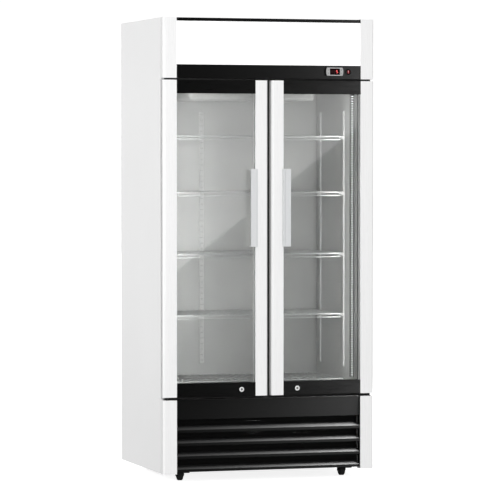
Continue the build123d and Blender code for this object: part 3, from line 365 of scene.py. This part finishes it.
def add_frame(target, x, z, profile):
    """A mitred rectangular frame in the XZ plane; the profile is a loop of (inset, y) pairs."""
    loops = []
    for inset, y in profile:
        corners = ((x[0] + inset, z[0] + inset), (x[1] - inset, z[0] + inset),
                   (x[1] - inset, z[1] - inset), (x[0] + inset, z[1] - inset))
        loops.append([target.verts.new((cx, y, cz)) for cx, cz in corners])
    for index, loop in enumerate(loops):
        other = loops[(index + 1) % len(loops)]
        for step in range(4):
            following = (step + 1) % 4
            target.faces.new((loop[step], loop[following], other[following], other[step]))


def add_prism(target, outline, low, high, place):
    """Extrude a flat outline from low to high; place turns (u, v, w) into a point."""
    bottom = [target.verts.new(place(u, v, low)) for u, v in outline]
    top = [target.verts.new(place(u, v, high)) for u, v in outline]
    target.faces.new(bottom)
    target.faces.new(list(reversed(top)))
    for index in range(len(outline)):
        following = (index + 1) % len(outline)
        target.faces.new((bottom[index], bottom[following], top[following], top[index]))


def tubes(name, routes, radius, material):
    """Bent metal tubes, one smooth spline for each route."""
    curve = bpy.data.curves.new(name, "CURVE")
    curve.dimensions = "3D"
    curve.bevel_depth = radius
    curve.bevel_resolution = 4
    curve.use_fill_caps = True
    for route in routes:
        spline = curve.splines.new("NURBS")
        spline.points.add(len(route) - 1)
        for point, place in zip(spline.points, route):
            point.co = (*place, 1.0)
        spline.order_u = 3
        spline.use_endpoint_u = True
    curve.materials.append(material)
    piece = bpy.data.objects.new(name, curve)
    scene.collection.objects.link(piece)
    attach(piece, "root")
    return piece


# ---------------------------------------------------------------- double glazing and gaskets
PANE = 4 * MM
for word, side in SIDES:
    low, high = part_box(f"door_{word}_glass_unit")
    glazing = bmesh.new()
    for y in ((low.y, low.y + PANE), (high.y - PANE, high.y)):
        add_block(glazing, (low.x, high.x), y, (low.z, high.z), 0.6 * MM)
    panes = finish_piece(f"door_{word}_glass_panes", glazing, finishes["glass"], f"door_{word}")
    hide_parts(f"door_{word}_glass_unit")

    spacer = bmesh.new()
    front, rear = low.y + 4.2 * MM, high.y - 4.2 * MM
    add_frame(spacer, (low.x, high.x), (low.z, high.z),
              ((0.3 * MM, front), (9 * MM, front), (9.8 * MM, front + 1.2 * MM),
               (9.8 * MM, rear - 1.2 * MM), (9 * MM, rear), (0.3 * MM, rear)))
    finish_piece(f"door_{word}_glass_spacer", spacer, finishes["led_profile"], f"door_{word}")

    low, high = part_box(f"door_{word}_gasket")
    seal = bmesh.new()
    front, rear, full = low.y, high.y, high.y - low.y
    # a dart base, one bellows fold and a flat magnet face
    add_frame(seal, (low.x, high.x), (low.z, high.z),
              ((1.5 * MM, front), (0.2 * MM, front + 0.18 * full), (2.4 * MM, front + 0.38 * full),
               (0.2 * MM, front + 0.60 * full), (0.2 * MM, rear - 1.2 * MM), (1.2 * MM, rear - 0.1 * MM),
               (10.8 * MM, rear - 0.1 * MM), (11.8 * MM, rear - 1.2 * MM), (11.8 * MM, front + 0.60 * full),
               (9.6 * MM, front + 0.38 * full), (11.8 * MM, front + 0.18 * full), (10.5 * MM, front)))
    gasket = finish_piece(f"door_{word}_bellows_gasket", seal, finishes["gasket_rubber"], f"door_{word}")
    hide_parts(f"door_{word}_gasket")


# ---------------------------------------------------------------- slotted strips and shelf clips
supports_low, supports_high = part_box("shelf_supports")
wall_x = supports_high.x
wall_y = supports_high.y
WIRE_LEVEL = 16.2 * MM  # of the cross wires above the lowest point of a shelf
SEAT_DROP = 3.2 * MM  # of a clip's seat under the cross wires
STRIP_SETBACKS = (262 * MM, 582 * MM)  # of the side strips behind the front of the handles
BACK_STRIP_X = 125 * MM
shelf_heights = [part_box(f"wire_shelf_{n}")[0].z + WIRE_LEVEL for n in range(1, 5)]
walls = [(Vector((side * wall_x, y, 0)), Vector((0, 1, 0)), Vector((-side, 0, 0)))
         for side in (-1, 1) for y in [cad_low.y + setback for setback in STRIP_SETBACKS]]
walls += [(Vector((side * BACK_STRIP_X, wall_y, 0)), Vector((1, 0, 0)), Vector((0, -1, 0)))
          for side in (-1, 1)]

SLOT_PITCH, SLOT_EDGE, SLOT_END = 25 * MM, 6 * MM, 10.5 * MM
STRIP_HALF, STRIP_OUT, STRIP_SHEET = 10 * MM, 5 * MM, 1.2 * MM


def add_slotted_strip(target, origin, along, out, bottom, top):
    """A folded channel with a row of slots that the clips hook into."""
    def point(u, v, w):
        return origin + along * u + out * w + Vector((0, 0, v))

    def quad(*corners):
        target.faces.new([target.verts.new(point(*c)) for c in corners])

    count = int((top - bottom) / SLOT_PITCH)
    columns = (-STRIP_HALF, -SLOT_EDGE, SLOT_EDGE, STRIP_HALF)
    for cell in range(count):
        start = bottom + cell * SLOT_PITCH
        rows = (start, start + SLOT_END, start + SLOT_PITCH - SLOT_END, start + SLOT_PITCH)
        for i in range(3):
            for j in range(3):
                if (i, j) != (1, 1):
                    quad((columns[i], rows[j], STRIP_OUT), (columns[i + 1], rows[j], STRIP_OUT),
                         (columns[i + 1], rows[j + 1], STRIP_OUT), (columns[i], rows[j + 1], STRIP_OUT))
        inner = STRIP_OUT - STRIP_SHEET
        hole = ((columns[1], rows[1]), (columns[2], rows[1]), (columns[2], rows[2]), (columns[1], rows[2]))
        for index in range(4):
            (u, v), (p, q) = hole[index], hole[(index + 1) % 4]
            quad((u, v, STRIP_OUT), (p, q, STRIP_OUT), (p, q, inner), (u, v, inner))
    end = bottom + count * SLOT_PITCH
    for u in (-STRIP_HALF, STRIP_HALF):
        quad((u, bottom, 0), (u, end, 0), (u, end, STRIP_OUT), (u, bottom, STRIP_OUT))
    for v in (bottom, end):
        quad((-STRIP_HALF, v, 0), (STRIP_HALF, v, 0), (STRIP_HALF, v, STRIP_OUT),
             (-STRIP_HALF, v, STRIP_OUT))


strips = bmesh.new()
clips = bmesh.new()
CLIP_HALF = 6 * MM
for origin, along, out in walls:
    add_slotted_strip(strips, origin, along, out, supports_low.z, supports_high.z)
    for height in shelf_heights:
        seat = height - SEAT_DROP
        hook = ((STRIP_OUT - 2 * MM, seat - 9 * MM), (STRIP_OUT + 3 * MM, seat - 9 * MM),
                (STRIP_OUT + 16 * MM, seat - 3 * MM), (STRIP_OUT + 18 * MM, seat + SEAT_DROP),
                (STRIP_OUT + 15.5 * MM, seat + SEAT_DROP), (STRIP_OUT + 14.5 * MM, seat),
                (STRIP_OUT - 2 * MM, seat))

        def at_wall(u, v, w, origin=origin, along=along, out=out):
            return origin + along * w + out * u + Vector((0, 0, v))

        add_prism(clips, hook, -CLIP_HALF, CLIP_HALF, at_wall)
bmesh.ops.remove_doubles(strips, verts=strips.verts, dist=0.00001)
slotted = finish_piece("slotted_shelf_strips", strips, finishes["zinc_steel"])
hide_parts("shelf_supports")
finish_piece("shelf_clips", clips, finishes["zinc_steel"])


# ---------------------------------------------------------------- LED boards
channel_low, channel_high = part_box("led_strips")
# the channel's sloping face starts this far behind the front of the handles
CHANNEL_SETBACK, CHANNEL_DEPTH, CHANNEL_WIDTH = 120 * MM, 13 * MM, 15 * MM
BOARD_PLACE = 0.46  # along the sloping face from the wall, 0 to 1
BOARD_HALF, BOARD_BOTTOM, BOARD_TOP = 7.5 * MM, 434 * MM, 1666 * MM
BOARD_BASE, BOARD_FACE, LED_FACE = 0.1 * MM, 1.1 * MM, 2.3 * MM
LED_PITCH, LED_COUNT, FIRST_LED = 10.4 * MM, 118, 440 * MM
LED_HALF, LED_RISE, LED_CUT = 5.2 * MM, 1.8 * MM, 0.7 * MM
edge_wall = cad_low.y + CHANNEL_SETBACK
edge_out = edge_wall + CHANNEL_DEPTH
for word, side in SIDES:
    outer = Vector((side * channel_high.x, edge_wall, 0))
    inner = Vector((side * (channel_high.x - CHANNEL_WIDTH), edge_out, 0))
    slope = (inner - outer).normalized()
    facing = Vector((-side * slope.y, -abs(slope.x), 0))
    middle = outer.lerp(inner, BOARD_PLACE)

    def on_channel(u, v, w, middle=middle, slope=slope, facing=facing):
        return middle + slope * u + facing * w + Vector((0, 0, v))

    board = bmesh.new()
    strip = ((-BOARD_HALF, BOARD_BOTTOM), (BOARD_HALF, BOARD_BOTTOM), (BOARD_HALF, BOARD_TOP),
             (-BOARD_HALF, BOARD_TOP))
    add_prism(board, strip, BOARD_BASE, BOARD_FACE, on_channel)
    finish_piece(f"led_board_{word}", board, led_board)
    lamps = bmesh.new()
    for index in range(LED_COUNT):
        z = FIRST_LED + index * LED_PITCH
        half, rise, cut = LED_HALF, LED_RISE, LED_CUT
        outline = ((-half, z - rise + cut), (-half + cut, z - rise), (half - cut, z - rise),
                   (half, z - rise + cut), (half, z + rise - cut), (half - cut, z + rise),
                   (-half + cut, z + rise), (-half, z + rise - cut))
        add_prism(lamps, outline, BOARD_FACE, LED_FACE, on_channel)
    finish_piece(f"led_lamps_{word}", lamps, led_light)


# ---------------------------------------------------------------- controller and switch
case_low, case_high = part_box("controller_case")
case_face = case_low.y
middle_x, middle_z = (case_low.x + case_high.x) / 2, (case_low.z + case_high.z) / 2
WINDOW_DEPTH, LENS_THICK = 1.2 * MM, 0.6 * MM
LENS_HALF = (20.7 * MM, 11.7 * MM)
TRIM_HALF, TRIM_WIDTH = (22.8 * MM, 13.8 * MM), 2.3 * MM
window_y = case_face + WINDOW_DEPTH
lens = bmesh.new()
add_block(lens, (middle_x - LENS_HALF[0], middle_x + LENS_HALF[0]),
          (window_y - LENS_THICK, window_y + 0.1 * MM),
          (middle_z - LENS_HALF[1], middle_z + LENS_HALF[1]), 0.2 * MM)
# a dark trim around the window, on the face of the case
add_frame(lens, (middle_x - TRIM_HALF[0], middle_x + TRIM_HALF[0]),
          (middle_z - TRIM_HALF[1], middle_z + TRIM_HALF[1]),
          ((0, case_face + 0.05 * MM), (0.1 * MM, case_face - 0.2 * MM), (TRIM_WIDTH, case_face - 0.2 * MM),
           (TRIM_WIDTH, case_face + 0.05 * MM)))
finish_piece("controller_display_lens", lens, display_lens)

# across, up and whether the segment lies level
SEGMENTS = {"a": (0, 1, True), "g": (0, 0, True), "d": (0, -1, True), "f": (-1, 0.5, False),
            "b": (1, 0.5, False), "e": (-1, -0.5, False), "c": (1, -0.5, False)}


def add_digit(target, x, z, shown):
    """The chosen segments of one seven-segment digit, about 7 mm wide and 13 mm high."""
    half_width, half_height, stroke = 2.9 * MM, 5.6 * MM, 0.75 * MM

    def on_lens(u, v, w):
        return Vector((u, w, v))

    for letter in shown:
        across, up, level = SEGMENTS[letter]
        cx, cz = x + across * half_width, z + up * half_height
        reach = (half_width if level else half_height / 2) - 0.35 * MM
        if level:
            outline = ((cx - reach, cz), (cx - reach + stroke, cz - stroke),
                       (cx + reach - stroke, cz - stroke), (cx + reach, cz),
                       (cx + reach - stroke, cz + stroke), (cx - reach + stroke, cz + stroke))
        else:
            outline = ((cx, cz - reach), (cx + stroke, cz - reach + stroke),
                       (cx + stroke, cz + reach - stroke), (cx, cz + reach),
                       (cx - stroke, cz + reach - stroke), (cx - stroke, cz - reach + stroke))
        add_prism(target, outline, window_y - 0.85 * MM, window_y - LENS_THICK, on_lens)


lit = bmesh.new()
add_digit(lit, middle_x + 10 * MM, middle_z, "afgcd")
finish_piece("controller_lit_digit", lit, lit_segment)
unlit = bmesh.new()
add_digit(unlit, middle_x - 1.5 * MM, middle_z, "abcdefg")
add_digit(unlit, middle_x - 12 * MM, middle_z, "abcdefg")
add_digit(unlit, middle_x + 10 * MM, middle_z, "be")
finish_piece("controller_unlit_digits", unlit, dark_segment)

# an upward and a downward triangle, a square and a bar, in millimetres
KEY_MARKS = (((-2.2, -1.6), (2.2, -1.6), (0, 2.0)),
             ((-2.2, 1.6), (0, -2.0), (2.2, 1.6)),
             ((-1.7, -1.7), (1.7, -1.7), (1.7, 1.7), (-1.7, 1.7)),
             ((-2.4, -0.7), (2.4, -0.7), (2.4, 0.7), (-2.4, 0.7)))
MARK_OUT, MARK_IN = 0.15 * MM, 0.1 * MM
for number, mark in enumerate(KEY_MARKS, start=1):
    key_low, key_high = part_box(f"controller_key_{number}")
    centre_x, centre_z = (key_low.x + key_high.x) / 2, (key_low.z + key_high.z) / 2

    def on_key(u, v, w, x=centre_x, z=centre_z):
        return Vector((x + u, w, z + v))

    symbol = bmesh.new()
    add_prism(symbol, [(u * MM, v * MM) for u, v in mark], key_low.y - MARK_OUT, key_low.y + MARK_IN,
              on_key)
    finish_piece(f"controller_key_{number}_mark", symbol, printed_mark, f"key_{number}")

rocker_low, rocker_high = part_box("switch_rocker")
rocker_x, rocker_z = (rocker_low.x + rocker_high.x) / 2, (rocker_low.z + rocker_high.z) / 2
rocker_face = rocker_low.y
ROCKER_TILT = math.radians(20)


def on_rocker(u, v, w):
    """The lower half stands upright and the upper half leans back."""
    lean = max(v, 0) * math.tan(ROCKER_TILT)
    return Vector((rocker_x + u, rocker_face + lean + w, rocker_z + v))


LINE_MARK = ((-0.5, -5.2), (0.5, -5.2), (0.5, -1.6), (-0.5, -1.6))
RING_INNER, RING_OUTER, RING_Z, RING_STEPS = 1.1 * MM, 1.9 * MM, 3.4 * MM, 20
rocker_marks = bmesh.new()
add_prism(rocker_marks, [(u * MM, v * MM) for u, v in LINE_MARK], -MARK_OUT, MARK_IN, on_rocker)
for step in range(RING_STEPS):
    angles = (2 * math.pi * step / RING_STEPS, 2 * math.pi * (step + 1) / RING_STEPS)
    inner_arc = [(RING_INNER * math.cos(a), RING_Z + RING_INNER * math.sin(a)) for a in angles]
    outer_arc = [(RING_OUTER * math.cos(a), RING_Z + RING_OUTER * math.sin(a)) for a in reversed(angles)]
    add_prism(rocker_marks, inner_arc + outer_arc, -MARK_OUT, MARK_IN, on_rocker)
bmesh.ops.remove_doubles(rocker_marks, verts=rocker_marks.verts, dist=0.000001)
finish_piece("switch_rocker_marks", rocker_marks, lit_mark, "switch")


# ---------------------------------------------------------------- screws
def add_hex_screw(target, place, axis):
    """A hexagon washer-head sheet-metal screw."""
    add_turned(target, ((0, 0), (5.0 * MM, 0), (5.0 * MM, 0.5 * MM), (4.4 * MM, 1.0 * MM),
                        (3.3 * MM, 1.2 * MM)), place, axis, 24)
    add_turned(target, ((3.25 * MM, 1.0 * MM), (3.25 * MM, 3.2 * MM), (2.7 * MM, 3.7 * MM), (0, 3.7 * MM)),
               place, axis, 6)


back_low, back_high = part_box("back_panel")
rear_grille_low, rear_grille_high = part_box("rear_grille")
screws = bmesh.new()
for x in (back_low.x + 10 * MM, back_high.x - 10 * MM):
    for index in range(6):
        z = back_low.z + 40 * MM + index * (back_high.z - back_low.z - 80 * MM) / 5
        add_hex_screw(screws, (x, back_high.y, z), (0, 1, 0))
    for z in (rear_grille_low.z + 18 * MM, rear_grille_high.z - 18 * MM):
        add_hex_screw(screws, (x, back_high.y, z), (0, 1, 0))
for x in (-0.2, 0.0, 0.2):
    add_hex_screw(screws, (x, back_high.y, back_high.z - 14 * MM), (0, 1, 0))
    add_hex_screw(screws, (x, back_high.y, rear_grille_high.z - 12 * MM), (0, 1, 0))
finish_piece("back_screws", screws, finishes["zinc_steel"], smooth=True)

cover_low, cover_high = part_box("evaporator_cover")
cover_screws = bmesh.new()
for x in (cover_low.x + 40 * MM, cover_high.x - 40 * MM):
    for y in (cover_low.y + 40 * MM, cover_high.y - 40 * MM):
        add_hex_screw(cover_screws, (x, y, cover_low.z), (0, 0, -1))
finish_piece("evaporator_cover_screws", cover_screws, finishes["zinc_steel"], smooth=True)


# ---------------------------------------------------------------- refrigerant tubes
compressor_low, compressor_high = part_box("compressor")
condenser_low, condenser_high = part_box("condenser")
stub_x, stub_y, floor_z = compressor_high.x, 0.120, compressor_low.z
coil_y = condenser_low.y + 27.5 * MM
right_end, left_end = condenser_high.x, condenser_low.x
discharge = ((stub_x - 0.02, stub_y, floor_z + 0.060), (stub_x + 0.03, stub_y, floor_z + 0.060),
             (stub_x + 0.045, stub_y - 0.10, floor_z + 0.060), (stub_x, stub_y - 0.24, floor_z + 0.08),
             (0.12, -0.19, floor_z + 0.15), (0.0, coil_y, floor_z + 0.185),
             (right_end, coil_y, floor_z + 0.185))
suction = ((stub_x - 0.02, stub_y, floor_z + 0.140), (stub_x + 0.035, stub_y, floor_z + 0.140),
           (stub_x + 0.06, stub_y + 0.02, floor_z + 0.17), (stub_x + 0.06, stub_y + 0.06, floor_z + 0.20),
           (stub_x + 0.06, stub_y + 0.06, 0.348))
process = ((stub_x - 0.02, stub_y, floor_z + 0.110), (stub_x + 0.02, stub_y, floor_z + 0.110),
           (stub_x + 0.05, stub_y - 0.02, floor_z + 0.112), (stub_x + 0.06, stub_y - 0.06, floor_z + 0.115))
tubes("refrigerant_tubes", (discharge, suction, process), 3.2 * MM, copper)
ROW_PITCH, FIRST_ROW = 0.023, 0.022
bends = []
for end, way in ((right_end, 1), (left_end, -1)):
    for row in range(4):
        z = floor_z + FIRST_ROW + row * 2 * ROW_PITCH + (0.0 if way > 0 else ROW_PITCH)
        rise, reach = ROW_PITCH, 0.014 * way
        bends.append(((end - way * 0.002, coil_y, z), (end + reach, coil_y, z),
                      (end + reach * 1.15, coil_y, z + rise / 2), (end + reach, coil_y, z + rise),
                      (end - way * 0.002, coil_y, z + rise)))
tubes("condenser_return_bends", bends, 3.6 * MM, copper)


# ---------------------------------------------------------------- dust screen behind the louvres, also a dark sheet as painted shade
base_grille_low, base_grille_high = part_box("base_grille")
screen = bmesh.new()
SCREEN_PITCH, SCREEN_BAR = 5 * MM, 4.5 * MM  # almost closed, so that this dark sheet stands in for the shade of the bay behind
screen_x = (base_grille_low.x + 4 * MM, base_grille_high.x - 4 * MM)
screen_z = (base_grille_low.z + 10 * MM, base_grille_low.z + 232 * MM)
screen_y = base_grille_low.y + 38 * MM


def add_bar(target, x, y, z):
    """One bar of the screen: a single flat face over the spans x and z."""
    corners = ((x[0], y, z[0]), (x[1], y, z[0]), (x[1], y, z[1]), (x[0], y, z[1]))
    target.faces.new([target.verts.new(corner) for corner in corners])


for index in range(int((screen_x[1] - screen_x[0]) / SCREEN_PITCH)):
    x = screen_x[0] + index * SCREEN_PITCH
    add_bar(screen, (x, x + SCREEN_BAR), screen_y, screen_z)
for index in range(int((screen_z[1] - screen_z[0]) / SCREEN_PITCH)):
    z = screen_z[0] + index * SCREEN_PITCH
    add_bar(screen, screen_x, screen_y + 0.4 * MM, (z, z + SCREEN_BAR))
finish_piece("grille_dust_screen", screen, finishes["black_plastic"])


# a skirt down from the tray closes the view under it through the lowest slots of the rear grille
tray_low, tray_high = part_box("base_tray")
skirt = bmesh.new()
add_block(skirt, (tray_low.x + 3 * MM, tray_high.x - 3 * MM),
          (rear_grille_low.y - 2.4 * MM, rear_grille_low.y - 1.2 * MM),
          (rear_grille_low.z + 4 * MM, tray_high.z), 0.3 * MM)
finish_piece("tray_rear_skirt", skirt, finishes["black_sheet"])


# ---------------------------------------------------------------- studio
def area_light(name, place, target, width, height, watts, colour=(1, 1, 1)):
    """A rectangular lamp at a place, aimed at a target and itself unseen by the camera."""
    data = bpy.data.lights.new(name, "AREA")
    data.shape = "RECTANGLE"
    data.size, data.size_y = width, height
    data.energy = watts
    data.color = colour
    lamp = bpy.data.objects.new(name, data)
    scene.collection.objects.link(lamp)
    lamp.location = place
    lamp.visible_camera = False
    look = (Vector(target) - Vector(place)).to_track_quat("-Z", "Y")
    lamp.rotation_euler = look.to_matrix().to_euler()
    return lamp


# strengths of the surroundings below and above the object, for soft light and for reflections
AMBIENT_BELOW, AMBIENT_ABOVE = 0.60, 0.88
GLOSS_BELOW, GLOSS_ABOVE = 0.01, 0.14


def studio_world():
    """White to the camera; soft light, brighter from above, on surfaces; dimmer still in reflections."""
    world = bpy.data.worlds.new("studio")
    world.use_nodes = True
    tree = world.node_tree
    rays = tree.nodes.new("ShaderNodeLightPath")
    direction = tree.nodes.new("ShaderNodeTexCoord")
    split = tree.nodes.new("ShaderNodeSeparateXYZ")
    tree.links.new(direction.outputs["Generated"], split.inputs["Vector"])
    white = tree.nodes["Background"]
    white.inputs["Color"].default_value = (1, 1, 1, 1)
    white.inputs["Strength"].default_value = 1.05
    ambient = tree.nodes.new("ShaderNodeBackground")
    tree.links.new(spread(tree, split.outputs["Z"], AMBIENT_BELOW, AMBIENT_ABOVE, -0.4, 0.5),
                   ambient.inputs["Strength"])
    mirrored = tree.nodes.new("ShaderNodeBackground")
    tree.links.new(spread(tree, split.outputs["Z"], GLOSS_BELOW, GLOSS_ABOVE, 0.1, 0.9),
                   mirrored.inputs["Strength"])
    for_gloss = tree.nodes.new("ShaderNodeMixShader")
    tree.links.new(rays.outputs["Is Glossy Ray"], for_gloss.inputs["Fac"])
    tree.links.new(ambient.outputs["Background"], for_gloss.inputs[1])
    tree.links.new(mirrored.outputs["Background"], for_gloss.inputs[2])
    for_camera = tree.nodes.new("ShaderNodeMixShader")
    tree.links.new(rays.outputs["Is Camera Ray"], for_camera.inputs["Fac"])
    tree.links.new(for_gloss.outputs["Shader"], for_camera.inputs[1])
    tree.links.new(white.outputs["Background"], for_camera.inputs[2])
    tree.links.new(for_camera.outputs["Shader"], tree.nodes["World Output"].inputs["Surface"])
    scene.world = world


def light_only(lamp, starts, others=False):
    """Let a lamp light only the pieces whose names start so, or only the others."""
    receivers = bpy.data.collections.new(lamp.name + "_receivers")
    for piece in list(scene.objects):
        if piece.type in ("MESH", "CURVE") and piece.name.startswith(starts) != others:
            receivers.objects.link(piece)
    lamp.light_linking.receiver_collection = receivers


studio_world()

NARROW = math.radians(75)
# the black fronts and the louvres are lit by lamps of their own and kept out of the main ones
RAILS = ("control_fascia", "top_panel", "door_left_rails", "door_right_rails")
GRILLE = ("base_grille", "grille_dust_screen")
key = area_light("key_from_front", (-0.75, -5.2, 1.6), (0, -0.1, 0.8), 2.2, 2.4, 122)
fill = area_light("fill_from_left", (-4.5, 0.6, 1.8), (0, 0.1, 1.0), 2.0, 2.6, 102)
top = area_light("top", (0.2, -0.6, 5.0), (0, 0, 1.0), 3.0, 3.0, 24)
area_light("back", (2.5, 4.5, 2.5), (0, 0.2, 1.0), 2.4, 2.4, 80)
sheen = area_light("sheen_from_right", (0.98, -0.68, 1.0), (0.38, -0.33, 1.0), 0.22, 2.1, 14)
sheen.data.spread = NARROW
louvre_light = area_light("louvre_light", (0.90, -0.52, 0.90), (0.30, -0.33, 0.15), 0.35, 0.35, 21)
louvre_light.data.spread = NARROW

# a softbox whose lower edge the glass mirrors as a diagonal, from high on the right to mid left
VEIL_SIZE = (4.0, 2.5)
edge_start, edge_end = Vector((0.53, -2.6, 1.04)), Vector((1.205, -2.6, 1.546))
veil_across = (edge_end - edge_start).normalized()
veil_up = Vector((0, -1, 0)).cross(veil_across)
veil = area_light("glass_veil", (0, 0, 0), (0, 1, 0), *VEIL_SIZE, 36)
veil.matrix_world = Matrix.Translation((edge_start + edge_end) / 2 + veil_up * VEIL_SIZE[1] / 2) @ Matrix(
    (veil_across, veil_up, (0, -1, 0))).transposed().to_4x4()

# the strips' own light on the inside of the cabinet
for word, side in SIDES:
    area_light(f"led_glow_{word}", (side * 0.398, -0.222, 1.05), (side * 0.1, 0.10, 1.05), 0.012, 1.2, 1.4,
               colour=(1.0, 0.99, 0.97))

floor_mesh = bmesh.new()
bmesh.ops.create_grid(floor_mesh, x_segments=1, y_segments=1, size=30)
floor_data = bpy.data.meshes.new("floor")
floor_mesh.to_mesh(floor_data)
floor_mesh.free()
floor = bpy.data.objects.new("floor", floor_data)
scene.collection.objects.link(floor)
floor.location.z = -0.0005
floor_data.materials.append(surface("pale_floor", grey(0.85), 0.8, tone=0.004, tone_scale=2, grain=0.02,
                                    glow=0.85, glow_colour=(1, 1, 1, 1)))
floor.visible_diffuse = False
floor.visible_glossy = False

for lamp in (key, fill, top):
    light_only(lamp, RAILS + GRILLE, others=True)
light_only(sheen, RAILS)
light_only(louvre_light, ("base_grille",))
light_only(veil, ("door_left_glass_panes", "door_right_glass_panes"))

PITCH_DOWN, YAW_RIGHT = 1.72, 17.213  # degrees
camera_data = bpy.data.cameras.new("camera")
camera_data.lens = 216.5
camera_data.sensor_width = 36.0
camera_data.clip_end = 200.0
camera = bpy.data.objects.new("camera", camera_data)
scene.collection.objects.link(camera)
camera.location = (-3.903, -12.653, 1.381)
camera.rotation_euler = (math.radians(90 - PITCH_DOWN), 0.0, math.radians(-YAW_RIGHT))
scene.camera = camera
scene.view_settings.view_transform = "Standard"
